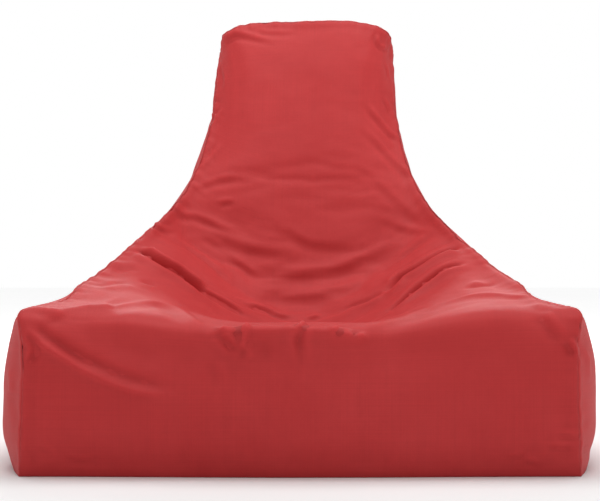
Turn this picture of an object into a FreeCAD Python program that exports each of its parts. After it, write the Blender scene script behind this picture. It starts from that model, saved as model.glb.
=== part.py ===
# Lounge bean bag chair with a tall tapering back: a sewn fabric cover in six panels, a coil zip in the
# rear panel with a slider that has no pull tab, and a loose bead filling inside.
#
# Frame: +Z up, the chair faces -Y. Left and right are as seen from the front, so right is +X.
# The origin is on the floor, at the centre of the chair's bounding box.
#
# The body is a box of six sewn panels whose seams are shared curves:
#   front_seat_back_panel  from the floor at the front, over the front roll, through the seat and up the backrest
#   left/right_side_panel  gussets between the long front panel and the rear panel
#   rear_panel             from the head down to the floor, with a straight slot for the zip
#   head_panel             small cap that closes the top of the back
#   base_panel             flat panel that the chair rests on
# Each panel is a solid of its own, mitred along the seams, so that neighbours meet face to face.
import FreeCAD, Part
import math, os

V = FreeCAD.Vector

# ---- driving dimensions, millimetres -------------------------------------------------------------
FABRIC_T = 1.5            # coated woven polyester with its seam fold, taken as one skin
FILL_GAP = 1.2            # slack between the skin and the bead filling
SEAM_HALF_W = 426.0       # half width of the front between its two vertical seams
BOTTOM_HALF_W = 433.0     # the same at the floor
TURN = 0.42               # share of the half width where the backrest starts to turn back towards its side seams
REAR_PLANE_Y = 452.0      # the lower rear is flat and upright here, and carries the zip
REAR_HALF_W = 352.0       # half width of the rear panel at the floor

ZIP_Z = 78.0              # height of the zip's centre line
ZIP_LEN = 560.0           # length of the zip's chain between its stops
ZIP_SLOT_H = 11.0         # opening in the rear panel that shows the chain
ZIP_TAPE_W = 15.0         # width of each woven tape
ZIP_TAPE_T = 0.7
ZIP_TAPE_GAP = 1.4        # between the two tapes, under the coil
COIL_W = 3.0              # one side's coil, measured up the panel
COIL_T = 2.4
SLIDER_L = 13.0
SLIDER_W = 10.4
SLIDER_WALL = 1.3
SLIDER_CLEAR = 0.35
STOP_L = 5.0

# ---- the body's stations, from the floor up and over -----------------------------------------------
# centre line of the long front panel: (y, z)
CENTRE = [(-450, 0), (-462, 38), (-467, 82), (-468, 128), (-464, 176), (-456, 215), (-427, 234), (-345, 226),
          (-243, 207), (-152, 201), (-66, 224), (0, 284), (52, 372), (99, 466), (146, 560), (191, 648), (236, 726), (281, 790)]
# seam between the long front panel and a side panel: (x, y, z)
EDGE = [(BOTTOM_HALF_W, -438, 0), (430, -449, 38), (428, -454, 82), (SEAM_HALF_W, -455, 128), (427, -452, 180), (431, -444, 228), (430, -416, 258),
        (383, -345, 267), (364, -262, 287), (338, -172, 311), (302, -82, 348), (254, 14, 398), (216, 92, 456), (191, 158, 526),
        (178, 214, 593), (173, 262, 651), (172, 302, 700), (169, 334, 738)]
# seam between the rear panel and a side panel: (x, y, z)
REAR = [(REAR_HALF_W, REAR_PLANE_Y, 0), (354, REAR_PLANE_Y, 28), (355, REAR_PLANE_Y, 57), (355, REAR_PLANE_Y, 88),
        (353, REAR_PLANE_Y, 120), (348, REAR_PLANE_Y, 155), (339, REAR_PLANE_Y, 195),
        (325, 454, 242), (307, 457, 294), (285, 460, 347), (259, 461, 400), (232, 460, 452), (208, 457, 504), (189, 452, 556),
        (176, 446, 607), (168, 438, 655), (163, 428, 698), (158, 420, 730)]
# how the section across the long panel rises from centre to seam: start and end of the rise, as shares of the half width
RISE = [(0.0, 1.0)] * 4 + [(0.1, 0.9), (0.2, 0.75), (0.22, 0.72), (0.15, 0.85), (0.08, 0.95), (0.05, 1.0), (0.05, 1.0)] + [(0.0, 1.0)] * 7
# belly of the side panels at each station, out along x
BELLY = [58, 76, 84, 86, 80, 62, 40, 28, 20, 14, 9, 6, 5, 4, 4, 4, 4, 4]
# the head leans a little to one side, as a soft back does: x shift at each station
LEAN = [0, 0, 0, 0, 0, 0, 0, 0, 0, 0, 1, 2, 4, 6, 8, 10, 12, 13]
ARCH = [0] * 14 + [3, 9, 22, 50]   # how far the panel's top stations bow up between their ends
NU, NT = 15, 13           # stations across the panels, and from front to back along the sides
HEAD_RISE = 10.0          # crown of the head cap above its seams


def smooth(a, b, x):
    q = min(1.0, max(0.0, (x - a) / (b - a)))
    return q * q * (3 - 2 * q)


NS = len(CENTRE)
US = [-1 + 2.0 * i / (NU - 1) for i in range(NU)]
TS = [i / (NT - 1.0) for i in range(NT)]


def bow(k, u):
    """(x share, rise share) along a station that bows up: straight where there is no arch, rounded corners where there is."""
    a = math.pi / 2 * u
    n = 2.0 / 3.2
    share = min(1.0, ARCH[k] / 50.0)
    x = math.copysign(abs(math.sin(a)) ** n, u) if abs(u) > 1e-9 else 0.0
    return u + (x - u) * share, max(0.0, math.cos(a)) ** n if abs(u) < 1 else 0.0


def centre_y(z):
    """Where the backrest's centre line is at height z."""
    pts = CENTRE[10:]
    for (y0, z0), (y1, z1) in zip(pts, pts[1:]):
        if z <= z1:
            return y0 + (y1 - y0) * (z - z0) / (z1 - z0)
    return pts[-1][0]


def front_point(k, u):
    (yc, zc), (xe, ye, ze) = CENTRE[k], EDGE[k]
    if abs(u) == 1:
        return V(xe * u + LEAN[k], ye, ze)
    if k >= 11:
        # the backrest: nearly flat in the middle, and rounded back towards its seams
        x, r = bow(k, u) if ARCH[k] else (u, 1 - u * u)
        z = ze + (zc - ze) * r
        turn = max(0.0, (abs(u) - TURN) / (1 - TURN)) ** 2.4
        return V(xe * x + LEAN[k], centre_y(z) + (ye - centre_y(ze)) * turn + (yc - centre_y(zc)) * (1 - turn), z)
    w = smooth(RISE[k][0], RISE[k][1], abs(u))
    return V(xe * u + LEAN[k], yc + (ye - yc) * w, zc + (ze - zc) * w)


def rear_point(k, u):
    x, y, z = REAR[k]
    back = 0.0 if k < 7 else [0, 1, 3, 5, 7, 9, 10, 10, 9, 7, 4][k - 7] * (1 - u * u)
    share, r = bow(k, u)
    return V(x * share + LEAN[k], y + back, z + (ARCH[k] * 0.9) * r)


def side_point(k, t, side):
    f, r = front_point(k, side), rear_point(k, side)
    p = f + (r - f) * t
    belly = BELLY[k] * (math.sin(math.pi * t ** 0.75) if 0 < t < 1 else 0.0)
    return V(p.x + side * belly, p.y, p.z)


def head_point(t, u):
    if abs(u) == 1:
        return side_point(NS - 1, t, u)
    f, r = front_point(NS - 1, u), rear_point(NS - 1, u)
    p = f + (r - f) * t
    if t in (0.0, 1.0):
        return p
    swell = math.sin(math.pi * t) * HEAD_RISE
    share, rise = bow(NS - 1, u)
    return V(p.x + BELLY[-1] * math.sin(math.pi * t ** 0.75) * share, p.y, p.z + swell * rise)


def base_point(t, u):
    if abs(u) == 1:
        return side_point(0, t, u)
    f, r = front_point(0, u), rear_point(0, u)
    if t in (0.0, 1.0):
        return f if t == 0.0 else r
    p = f + (r - f) * t
    return V(side_point(0, t, 1.0).x * u, p.y, 0.0)


# each panel is a net of points that its surface passes through: rows by columns
NETS = {
    "front_seat_back_panel": [[front_point(k, u) for u in US] for k in range(NS)],
    "rear_panel": [[rear_point(k, -u) for u in US] for k in range(NS)],
    "left_side_panel": [[side_point(k, 1 - t, -1.0) for t in TS] for k in range(NS)],
    "right_side_panel": [[side_point(k, t, 1.0) for t in TS] for k in range(NS)],
    "head_panel": [[head_point(t, u) for u in US] for t in TS],
    "base_panel": [[base_point(1 - t, u) for u in US] for t in TS],
}


def key(p):
    return (round(p.x, 5), round(p.y, 5), round(p.z, 5))


def normal(net, i, j):
    ni, nj = len(net), len(net[0])
    a = net[min(i + 1, ni - 1)][j] - net[max(i - 1, 0)][j]
    b = net[i][min(j + 1, nj - 1)] - net[i][max(j - 1, 0)]
    n = b.cross(a)
    return n.normalize()


def solve3(rows, rhs):
    # least squares of rows . d = rhs, held near zero
    m = [[sum(r[a] * r[b] for r in rows) + (1e-9 if a == b else 0) for b in range(3)] for a in range(3)]
    v = [sum(r[a] * rhs for r in rows) for a in range(3)]
    det = (m[0][0] * (m[1][1] * m[2][2] - m[1][2] * m[2][1]) - m[0][1] * (m[1][0] * m[2][2] - m[1][2] * m[2][0])
           + m[0][2] * (m[1][0] * m[2][1] - m[1][1] * m[2][0]))
    out = []
    for c in range(3):
        q = [row[:] for row in m]
        for a in range(3):
            q[a][c] = v[a]
        out.append((q[0][0] * (q[1][1] * q[2][2] - q[1][2] * q[2][1]) - q[0][1] * (q[1][0] * q[2][2] - q[1][2] * q[2][0])
                    + q[0][2] * (q[1][0] * q[2][1] - q[1][1] * q[2][0])) / det)
    return V(*out)


NORMALS = {}
for name, net in NETS.items():
    for i, row in enumerate(net):
        for j, p in enumerate(row):
            NORMALS.setdefault(key(p), []).append(normal(net, i, j))


def inward(p, depth):
    """The point under p that is depth below every panel meeting there."""
    ns = NORMALS[key(p)]
    if len(ns) == 1:
        return p - ns[0] * depth
    mean = V(0, 0, 0)
    for n in ns:
        mean += n
    mean.normalize()
    if len(ns) == 2:
        c = max(0.35, mean.dot(ns[0]))
        return p - mean * (depth / c)
    d = solve3([(n.x, n.y, n.z) for n in ns], depth)
    if d.Length > 3 * depth:
        d = mean * (depth / 0.5)
    return p - d


def basis(n, x):
    """Cubic B-spline basis on clamped uniform knots with n poles, at x in 0..n-3."""
    knots = [0.0] * 4 + [float(i) for i in range(1, n - 3)] + [float(n - 3)] * 4
    if x >= n - 3:
        return [0.0] * (n - 1) + [1.0]
    b = [1.0 if knots[i] <= x < knots[i + 1] else 0.0 for i in range(len(knots) - 1)]
    for d in range(1, 4):
        c = []
        for i in range(len(knots) - 1 - d):
            left = (x - knots[i]) / (knots[i + d] - knots[i]) * b[i] if knots[i + d] > knots[i] else 0.0
            right = (knots[i + d + 1] - x) / (knots[i + d + 1] - knots[i + 1]) * b[i + 1] if knots[i + d + 1] > knots[i + 1] else 0.0
            c.append(left + right)
        b = c
    return b[:n]


INVERSE = {}


def inverse(n):
    """The matrix that turns n points into the n poles of the curve through them, at the spline's own mean knots."""
    if n not in INVERSE:
        knots = [0.0] * 4 + [float(i) for i in range(1, n - 3)] + [float(n - 3)] * 4
        m = [basis(n, sum(knots[i + 1:i + 4]) / 3) + [1.0 if i == j else 0.0 for j in range(n)] for i in range(n)]
        for c in range(n):
            p = max(range(c, n), key=lambda r: abs(m[r][c]))
            m[c], m[p] = m[p], m[c]
            q = m[c][c]
            m[c] = [v / q for v in m[c]]
            for r in range(n):
                if r != c and m[r][c]:
                    q = m[r][c]
                    m[r] = [a - q * b for a, b in zip(m[r], m[c])]
        INVERSE[n] = [row[n:] for row in m]
    return INVERSE[n]


def poles(points):
    out = []
    for row in inverse(len(points)):
        p = V(0, 0, 0)
        for w, q in zip(row, points):
            p += q * w
        out.append(p)
    return out


def pole_net(net):
    rows = [poles(r) for r in net]
    cols = [poles([r[j] for r in rows]) for j in range(len(rows[0]))]
    return [[cols[j][i] for j in range(len(cols))] for i in range(len(net))]


def surface(net):
    nu, nv = len(net), len(net[0])
    s = Part.BSplineSurface()
    s.buildFromPolesMultsKnots(pole_net(net), [4] + [1] * (nu - 4) + [4], [4] + [1] * (nv - 4) + [4],
                               [float(x) for x in range(nu - 2)], [float(x) for x in range(nv - 2)], False, False, 3, 3)
    return s


def strip(a, b):
    """Ruled face between two rows of points that share their knots."""
    n = len(a)
    s = Part.BSplineSurface()
    s.buildFromPolesMultsKnots([poles(a), poles(b)], [2, 2], [4] + [1] * (n - 4) + [4], [0.0, 1.0],
                               [float(x) for x in range(n - 2)], False, False, 1, 3)
    return s.toShape()


def closed(faces, what):
    shell = Part.makeShell(faces)
    if not shell.isClosed():
        sewn = Part.Shape(Part.Compound(faces))
        sewn.sewShape(1e-3)
        shell = sewn.Shells[0]
    solid = Part.Solid(shell)
    if solid.Volume < 0:
        solid.reverse()
    solid.fixTolerance(1e-4) if hasattr(solid, "fixTolerance") else None
    fixed = solid.copy()
    if not fixed.isValid():
        fixed.fix(1e-3, 1e-3, 1e-2)
    print("%-24s valid %s closed %s volume %.1f cm3" % (what, fixed.isValid(), shell.isClosed(), fixed.Volume / 1000))
    return fixed


def flat_face(net):
    """Plane face with the net's own boundary curves, for a panel that lies flat."""
    edges = []
    for row in (net[0], [r[-1] for r in net], net[-1][::-1], [r[0] for r in net][::-1]):
        n = len(row)
        c = Part.BSplineCurve()
        c.buildFromPolesMultsKnots(poles(row), [4] + [1] * (n - 4) + [4], [float(x) for x in range(n - 2)], False, 3)
        edges.append(c.toShape())
    return Part.Face(Part.Wire(edges))


def panel(name):
    net = NETS[name]
    under = [[inward(p, FABRIC_T) for p in row] for row in net]
    edges = [(net[0], under[0]), (net[-1], under[-1]), ([r[0] for r in net], [r[0] for r in under]),
             ([r[-1] for r in net], [r[-1] for r in under])]
    outer = flat_face(net) if name == "base_panel" else surface(net).toShape()
    return closed([outer, surface(under).toShape()] + [strip(a, b) for a, b in edges], name)


def box(x0, x1, y0, y1, z0, z1):
    return Part.makeBox(x1 - x0, y1 - y0, z1 - z0, V(x0, y0, z0))


def cylinder_x(x0, x1, y, z, r):
    return Part.makeCylinder(r, x1 - x0, V(x0, y, z), V(1, 0, 0))


parts = {}
for name in NETS:
    parts[name] = panel(name)

# bead filling: the space inside the cover, a little slack
DEPTH = FABRIC_T + FILL_GAP
fill = closed([surface([[inward(p, DEPTH) for p in row] for row in net]).toShape() for net in NETS.values()], "bead_filling")

# ---- zip, in the flat lower part of the rear panel ---------------------------------------------------
inner_y = REAR_PLANE_Y - FABRIC_T - 0.05     # just under the inside face of the rear panel
half = ZIP_LEN / 2
tape_y0, tape_y1 = inner_y - ZIP_TAPE_T, inner_y
slot_half = half + STOP_L + 1.0
slot = box(-slot_half, slot_half, REAR_PLANE_Y - FABRIC_T - 1, REAR_PLANE_Y + 1, ZIP_Z - ZIP_SLOT_H / 2, ZIP_Z + ZIP_SLOT_H / 2)
parts["rear_panel"] = parts["rear_panel"].cut(slot)

tape_half = half + 14
for name, sign in (("upper", 1), ("lower", -1)):
    z0 = ZIP_Z + sign * ZIP_TAPE_GAP / 2
    z1 = ZIP_Z + sign * (ZIP_TAPE_GAP / 2 + ZIP_TAPE_W)
    parts["zip_tape_" + name] = box(-tape_half, tape_half, tape_y0, tape_y1, min(z0, z1), max(z0, z1))
    # the coil lies on the outer face of its tape and meets the other side's coil on the centre line
    z1 = ZIP_Z + sign * COIL_W
    za, zb = min(ZIP_Z + sign * 0.02, z1), max(ZIP_Z + sign * 0.02, z1)
    coil = box(-half, half, tape_y1, tape_y1 + COIL_T, za, zb)
    outer_z = zb if sign > 0 else za
    edges = [e for e in coil.Edges if abs(e.CenterOfMass.z - outer_z) < 1e-6 and abs(e.CenterOfMass.y - (tape_y1 + COIL_T)) < 1e-6
             and e.Length > ZIP_LEN / 2]
    parts["zip_coil_" + name] = coil.makeFillet(0.9, edges)

# stops: small crimps that close over both coils at each end of the chain
coil_top = tape_y1 + COIL_T
for name, sign in (("left", -1), ("right", 1)):
    x0, x1 = sorted((sign * (half + 0.05), sign * (half + STOP_L)))
    parts["zip_stop_" + name] = box(x0, x1, tape_y1, coil_top + 0.5, ZIP_Z - COIL_W - 0.6, ZIP_Z + COIL_W + 0.6)

# slider body: two plates joined by a nose at one end, with the chain running between them.
# It has no pull tab, and a small lug with a hole that a paper clip goes through.
sx0 = -half + 0.6
sx1 = sx0 + SLIDER_L
gap_in = tape_y0 - SLIDER_CLEAR
gap_out = coil_top + SLIDER_CLEAR
w = SLIDER_W / 2
outer = box(sx0, sx1, gap_out, gap_out + SLIDER_WALL, ZIP_Z - w, ZIP_Z + w)
inner = box(sx0, sx1, gap_in - SLIDER_WALL, gap_in, ZIP_Z - w, ZIP_Z + w)


def round_plate(plate):
    es = [e for e in plate.Edges if abs(e.tangentAt(e.FirstParameter).y) > 0.99]
    return plate.makeFillet(2.6, es)


outer, inner = round_plate(outer), round_plate(inner)
# side flanges hang from the outer plate, outside the coils
flange_gap = COIL_W + SLIDER_CLEAR
for sign in (-1, 1):
    z0, z1 = sorted((ZIP_Z + sign * flange_gap, ZIP_Z + sign * (flange_gap + 1.2)))
    outer = outer.fuse(box(sx0 + 2.0, sx1 - 2.6, tape_y1 + SLIDER_CLEAR, gap_out + 0.2, z0, z1))
# the nose passes through the slit between the two tapes, ahead of the coils' meeting line
nose = box(sx0 + 0.6, sx0 + 2.6, gap_in - 0.2, gap_out + 0.2, ZIP_Z - 0.45, ZIP_Z + 0.45)
lug = box(sx0 + 3.4, sx1 - 3.6, gap_out + SLIDER_WALL - 0.1, gap_out + SLIDER_WALL + 2.3, ZIP_Z - 1.0, ZIP_Z + 1.0)
lug = lug.makeFillet(0.9, [e for e in lug.Edges if abs(e.tangentAt(e.FirstParameter).z) > 0.99
                           and e.CenterOfMass.y > gap_out + SLIDER_WALL + 1])
lug = lug.cut(Part.makeCylinder(0.65, 6, V((sx0 + sx1) / 2 - 0.1, gap_out + SLIDER_WALL + 1.05, ZIP_Z - 3), V(0, 0, 1)))
slider = outer.fuse(inner).fuse(nose).fuse(lug).removeSplitter()
# the coils stop short of nothing: a slit for the nose runs between them over the slider's whole travel
for name in ("upper", "lower"):
    sign = 1 if name == "upper" else -1
    z0, z1 = sorted((ZIP_Z - sign * 0.1, ZIP_Z + sign * 0.7))
    parts["zip_coil_" + name] = parts["zip_coil_" + name].cut(box(-half - 1, half + 1, tape_y1 - 1, coil_top + 1, z0, z1))
parts["zip_slider"] = slider

# room in the filling for the tapes and the slider's inner plate, along its whole travel
pocket = box(-tape_half - 3, tape_half + 3, gap_in - SLIDER_WALL - 1.2, REAR_PLANE_Y + 5, ZIP_Z - ZIP_TAPE_W - 3, ZIP_Z + ZIP_TAPE_W + 3)
parts["bead_filling"] = fill.cut(pocket)

os.makedirs("parts", exist_ok=True)
total = 0
bb = None
for name, shape in parts.items():
    ok = shape.isValid()
    print("%-24s valid %s solids %d volume %.2f cm3" % (name, ok, len(shape.Solids), shape.Volume / 1000))
    total += shape.Volume
    bb = shape.BoundBox if bb is None else bb.united(shape.BoundBox)
    shape.exportStep("parts/%s.step" % name)
print("total %.1f litres, box x %.1f..%.1f y %.1f..%.1f z %.1f..%.1f" % (total / 1e6, bb.XMin, bb.XMax, bb.YMin, bb.YMax, bb.ZMin, bb.ZMax))
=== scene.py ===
"""Lounge bean bag chair with a tall tapering back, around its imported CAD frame.

Every fabric panel is built on the same stations as the CAD panels, then creased, puckered along its seams
and settled by a short cloth simulation. Lengths are millimetres until a mesh is made, which is in metres.
"""

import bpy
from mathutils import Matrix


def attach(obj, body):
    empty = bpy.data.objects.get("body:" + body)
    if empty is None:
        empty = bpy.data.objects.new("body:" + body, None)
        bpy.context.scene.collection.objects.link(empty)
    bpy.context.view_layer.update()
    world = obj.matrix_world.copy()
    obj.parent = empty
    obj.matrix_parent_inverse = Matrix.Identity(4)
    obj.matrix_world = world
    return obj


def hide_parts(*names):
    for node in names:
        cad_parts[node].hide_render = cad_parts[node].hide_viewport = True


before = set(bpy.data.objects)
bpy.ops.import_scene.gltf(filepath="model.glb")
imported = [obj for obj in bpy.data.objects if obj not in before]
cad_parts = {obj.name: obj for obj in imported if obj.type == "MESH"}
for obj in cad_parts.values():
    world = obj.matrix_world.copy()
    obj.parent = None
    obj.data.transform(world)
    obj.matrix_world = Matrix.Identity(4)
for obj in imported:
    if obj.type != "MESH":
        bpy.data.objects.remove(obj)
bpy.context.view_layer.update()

import math

import bmesh
import bpy
import numpy as np
from mathutils import Vector
from mathutils.bvhtree import BVHTree

SCENE = bpy.context.scene

# ------------------------------------------------------------------------------------ camera and stage
cam_data = bpy.data.cameras.new("view")
cam_data.lens = 102.66
cam_data.sensor_width = 36.0
cam_data.clip_start, cam_data.clip_end = 0.05, 60.0
camera = bpy.data.objects.new("camera", cam_data)
SCENE.collection.objects.link(camera)
camera.location = (0.0, -3.07, 0.372)
camera.rotation_euler = (math.radians(90.0 - 0.519), 0.0, 0.0)
SCENE.camera = camera

# ------------------------------------------------------------------------------------ the body's stations
# The same driving numbers as the CAD source: centre line and seams of the six panels.
CENTRE = [(-450, 0), (-462, 38), (-467, 82), (-468, 128), (-464, 176), (-456, 215), (-427, 234), (-345, 226),
          (-243, 207), (-152, 201), (-66, 224), (0, 284), (52, 372), (99, 466), (146, 560), (191, 648), (236, 726), (281, 790)]
EDGE = [(433, -438, 0), (430, -449, 38), (428, -454, 82), (426, -455, 128), (427, -452, 180), (431, -444, 228), (430, -416, 258),
        (383, -345, 267), (364, -262, 287), (338, -172, 311), (302, -82, 348), (254, 14, 398), (216, 92, 456), (191, 158, 526),
        (178, 214, 593), (173, 262, 651), (172, 302, 700), (169, 334, 738)]
REAR = [(352, 452, 0), (354, 452, 28), (355, 452, 57), (355, 452, 88), (353, 452, 120), (348, 452, 155), (339, 452, 195),
        (325, 454, 242), (307, 457, 294), (285, 460, 347), (259, 461, 400), (232, 460, 452), (208, 457, 504), (189, 452, 556),
        (176, 446, 607), (168, 438, 655), (163, 428, 698), (158, 420, 730)]
RISE = [(0.0, 1.0)] * 4 + [(0.1, 0.9), (0.2, 0.75), (0.22, 0.72), (0.15, 0.85), (0.08, 0.95), (0.05, 1.0), (0.05, 1.0)] + [(0.0, 1.0)] * 7
BELLY = [58, 76, 84, 86, 80, 62, 40, 28, 20, 14, 9, 6, 5, 4, 4, 4, 4, 4]
TURN = 0.42
LEAN = [0] * 10 + [1, 2, 4, 6, 8, 10, 12, 13]
ARCH = [0] * 14 + [3, 9, 22, 50]
BACK = [0] * 7 + [0, 1, 3, 5, 7, 9, 10, 10, 9, 7, 4]
NS, NU, NT = len(CENTRE), 15, 13
HEAD_RISE = 10.0
FABRIC = 1.5                      # skin thickness
REAR_Y = 452.0
ZIP_Z, ZIP_HALF = 78.0, 280.0     # the zip's centre line and half its chain
SLOT_HALF, SLOT_H = 286.0, 11.0   # the opening in the rear panel

US = [-1 + 2.0 * i / (NU - 1) for i in range(NU)]
TS = [i / (NT - 1.0) for i in range(NT)]


def smooth(a, b, x):
    q = min(1.0, max(0.0, (x - a) / (b - a)))
    return q * q * (3 - 2 * q)


def bow(k, u):
    a = math.pi / 2 * u
    share = min(1.0, ARCH[k] / 50.0)
    x = math.copysign(abs(math.sin(a)) ** 0.625, u) if abs(u) > 1e-9 else 0.0
    return u + (x - u) * share, max(0.0, math.cos(a)) ** 0.625 if abs(u) < 1 else 0.0


def centre_y(z):
    pts = CENTRE[10:]
    for (y0, z0), (y1, z1) in zip(pts, pts[1:]):
        if z <= z1:
            return y0 + (y1 - y0) * (z - z0) / (z1 - z0)
    return pts[-1][0]


def front_point(k, u):
    (yc, zc), (xe, ye, ze) = CENTRE[k], EDGE[k]
    if abs(u) == 1:
        return np.array([xe * u + LEAN[k], ye, ze])
    if k >= 11:
        x, r = bow(k, u) if ARCH[k] else (u, 1 - u * u)
        z = ze + (zc - ze) * r
        turn = max(0.0, (abs(u) - TURN) / (1 - TURN)) ** 2.4
        return np.array([xe * x + LEAN[k], centre_y(z) + (ye - centre_y(ze)) * turn + (yc - centre_y(zc)) * (1 - turn), z])
    w = smooth(RISE[k][0], RISE[k][1], abs(u))
    return np.array([xe * u + LEAN[k], yc + (ye - yc) * w, zc + (ze - zc) * w])


def rear_point(k, u):
    x, y, z = REAR[k]
    share, r = bow(k, u)
    return np.array([x * share + LEAN[k], y + BACK[k] * (1 - u * u), z + ARCH[k] * 0.9 * r])


def side_point(k, t, side):
    f, r = front_point(k, side), rear_point(k, side)
    p = f + (r - f) * t
    p[0] += side * BELLY[k] * (math.sin(math.pi * t ** 0.75) if 0 < t < 1 else 0.0)
    return p


def head_point(t, u):
    if abs(u) == 1:
        return side_point(NS - 1, t, u)
    f, r = front_point(NS - 1, u), rear_point(NS - 1, u)
    p = f + (r - f) * t
    if t in (0.0, 1.0):
        return p
    share, rise = bow(NS - 1, u)
    return p + np.array([BELLY[-1] * math.sin(math.pi * t ** 0.75) * share, 0, math.sin(math.pi * t) * HEAD_RISE * rise])


def base_point(t, u):
    if abs(u) == 1:
        return side_point(0, t, u)
    f, r = front_point(0, u), rear_point(0, u)
    if t in (0.0, 1.0):
        return f if t == 0.0 else r
    p = f + (r - f) * t
    return np.array([side_point(0, t, 1.0)[0] * u, p[1], 0.0])


NETS = {
    "front": np.array([[front_point(k, u) for u in US] for k in range(NS)]),
    "rear": np.array([[rear_point(k, -u) for u in US] for k in range(NS)]),
    "left": np.array([[side_point(k, 1 - t, -1.0) for t in TS] for k in range(NS)]),
    "right": np.array([[side_point(k, t, 1.0) for t in TS] for k in range(NS)]),
    "head": np.array([[head_point(t, u) for u in US] for t in TS]),
    "base": np.array([[base_point(1 - t, u) for u in US] for t in TS]),
}


# ------------------------------------------------------------------------------------ splines through the stations
def basis(n, x):
    """Cubic B-spline basis on clamped uniform knots with n poles, at the values x in 0..n-3. One row per value."""
    knots = np.array([0.0] * 4 + list(range(1, n - 3)) + [n - 3.0] * 4)
    x = np.minimum(np.asarray(x, float), n - 3 - 1e-9)[:, None]
    b = ((knots[None, :-1] <= x) & (x < knots[None, 1:])).astype(float)
    for d in range(1, 4):
        m = len(knots) - 1 - d
        left = np.zeros((len(x), m))
        right = np.zeros((len(x), m))
        for i in range(m):
            if knots[i + d] > knots[i]:
                left[:, i] = (x[:, 0] - knots[i]) / (knots[i + d] - knots[i]) * b[:, i]
            if knots[i + d + 1] > knots[i + 1]:
                right[:, i] = (knots[i + d + 1] - x[:, 0]) / (knots[i + d + 1] - knots[i + 1]) * b[:, i + 1]
        b = left + right
    return b[:, :n]


def through(n, x):
    """The matrix that takes n points to the values at x of the spline through them."""
    knots = np.array([0.0] * 4 + list(range(1, n - 3)) + [n - 3.0] * 4)
    at = [knots[i + 1:i + 4].mean() for i in range(n)]
    return basis(n, x) @ np.linalg.inv(basis(n, at))


def spaced(length, step, count):
    """count+1 places along length, with local spacing in proportion to step(x)."""
    x = np.linspace(0, length, 4001)
    rho = 1 / np.array([step(a) for a in x])
    c = np.concatenate([[0], np.cumsum((rho[1:] + rho[:-1]) / 2)])
    return np.interp(np.linspace(0, c[-1], count + 1), c, x)


def ends(x, length, usual, fine=1.25, reach=16.0):
    """Spacing that tightens towards both ends, where the seams are."""
    d = min(x, length - x)
    q = min(1.0, d / reach)
    return fine + (usual - fine) * q * q * (3 - 2 * q)


NV_, NU_, NT_ = 432, 208, 168
fine = np.linspace(0, NS - 3, 3001)
M = through(NS, fine)
line = (np.einsum("ij,jc->ic", M, NETS["front"][:, NU // 2]) * 0.5 + np.einsum("ij,jc->ic", M, NETS["front"][:, 1]) * 0.5)
run = np.concatenate([[0], np.cumsum(np.linalg.norm(np.diff(line, axis=0), axis=1))])
LONG = run[-1]


def v_step(x):
    usual = 4.8 if x < 150 else 3.0 if 190 < x < 1080 else 4.0
    if 84 < x < 148:                                  # finer beside the zip, at the back
        return 2.4
    if 150 <= x <= 190:
        usual = 4.8 - 1.8 * (x - 150) / 40
    if 1080 <= x <= 1180:
        usual = 3.0 + 1.0 * (x - 1080) / 100
    return ends(x, LONG, usual)


V_AT = np.interp(spaced(LONG, v_step, NV_), run, fine)
Mu = through(NU, np.linspace(0, NU - 3, 3001)) @ np.array(US)
U_AT = np.interp(spaced(852.0, lambda x: ends(x, 852.0, 4.3, 1.4, 22.0), NU_) / 426.0 - 1, Mu, np.linspace(0, NU - 3, 3001))
Mt = through(NT, np.linspace(0, NT - 3, 3001)) @ np.array(TS)
T_AT = np.interp(spaced(900.0, lambda x: ends(x, 900.0, 5.6, 1.8, 26.0), NT_) / 900.0, Mt, np.linspace(0, NT - 3, 3001))
CV, CU, CT = through(NS, V_AT), through(NU, U_AT), through(NT, T_AT)


def grid(net, rows, cols):
    return np.einsum("ai,ijc,bj->abc", rows, net, cols)


GRIDS = {
    "front": grid(NETS["front"], CV, CU),
    "rear": grid(NETS["rear"], CV, CU),
    "left": grid(NETS["left"], CV, CT),
    "right": grid(NETS["right"], CV, CT),
    "head": grid(NETS["head"], CT, CU),
    "base": grid(NETS["base"], CT, CU),
}
GRIDS["base"][:, :, 2] = 0.0


def meet_slot(g):
    """Rows and columns of the rear panel are nudged to lie on the edges of the zip's opening."""
    mid = g.shape[1] // 2
    z = g[:, mid, 2].copy()
    lo, hi = (int(np.abs(z - v).argmin()) for v in (ZIP_Z - SLOT_H / 2, ZIP_Z + SLOT_H / 2))
    dz = np.interp(z, [z[lo - 7], z[lo], z[hi], z[hi + 7]], [0, ZIP_Z - SLOT_H / 2 - z[lo], ZIP_Z + SLOT_H / 2 - z[hi], 0])
    g[:, :, 2] += dz[:, None] * np.clip((346 - np.abs(g[:, :, 0])) / 26, 0, 1)
    a, b = (2 * int(np.abs(g[lo, ::2, 0] - v).argmin()) for v in (SLOT_HALF, -SLOT_HALF))
    rows = np.clip(1.5 - np.abs(np.arange(len(g)) - (lo + hi) / 2) / 16.0, 0, 1)
    for c, x in ((a, SLOT_HALF), (b, -SLOT_HALF)):
        off = (x - g[:, c, 0]) * rows
        for k in range(-5, 6):
            g[:, c + k, 0] += off * (1 - abs(k) / 6.0)
    return lo, hi, a, b


SLOT_ROWS = meet_slot(GRIDS["rear"])

# ------------------------------------------------------------------------------------ one welded skin of the six panels
ids, points, made = {}, [], 0


def number(name, shared):
    """Gives a panel's grid its vertex numbers. shared is a list of (slice, numbers) along seams that exist already."""
    global made
    g = GRIDS[name]
    n = np.full(g.shape[:2], -1, int)
    for where, known in shared:
        n[where] = known
    new = n < 0
    n[new] = made + np.arange(new.sum())
    points.append(g[new])
    made += int(new.sum())
    ids[name] = n


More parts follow.
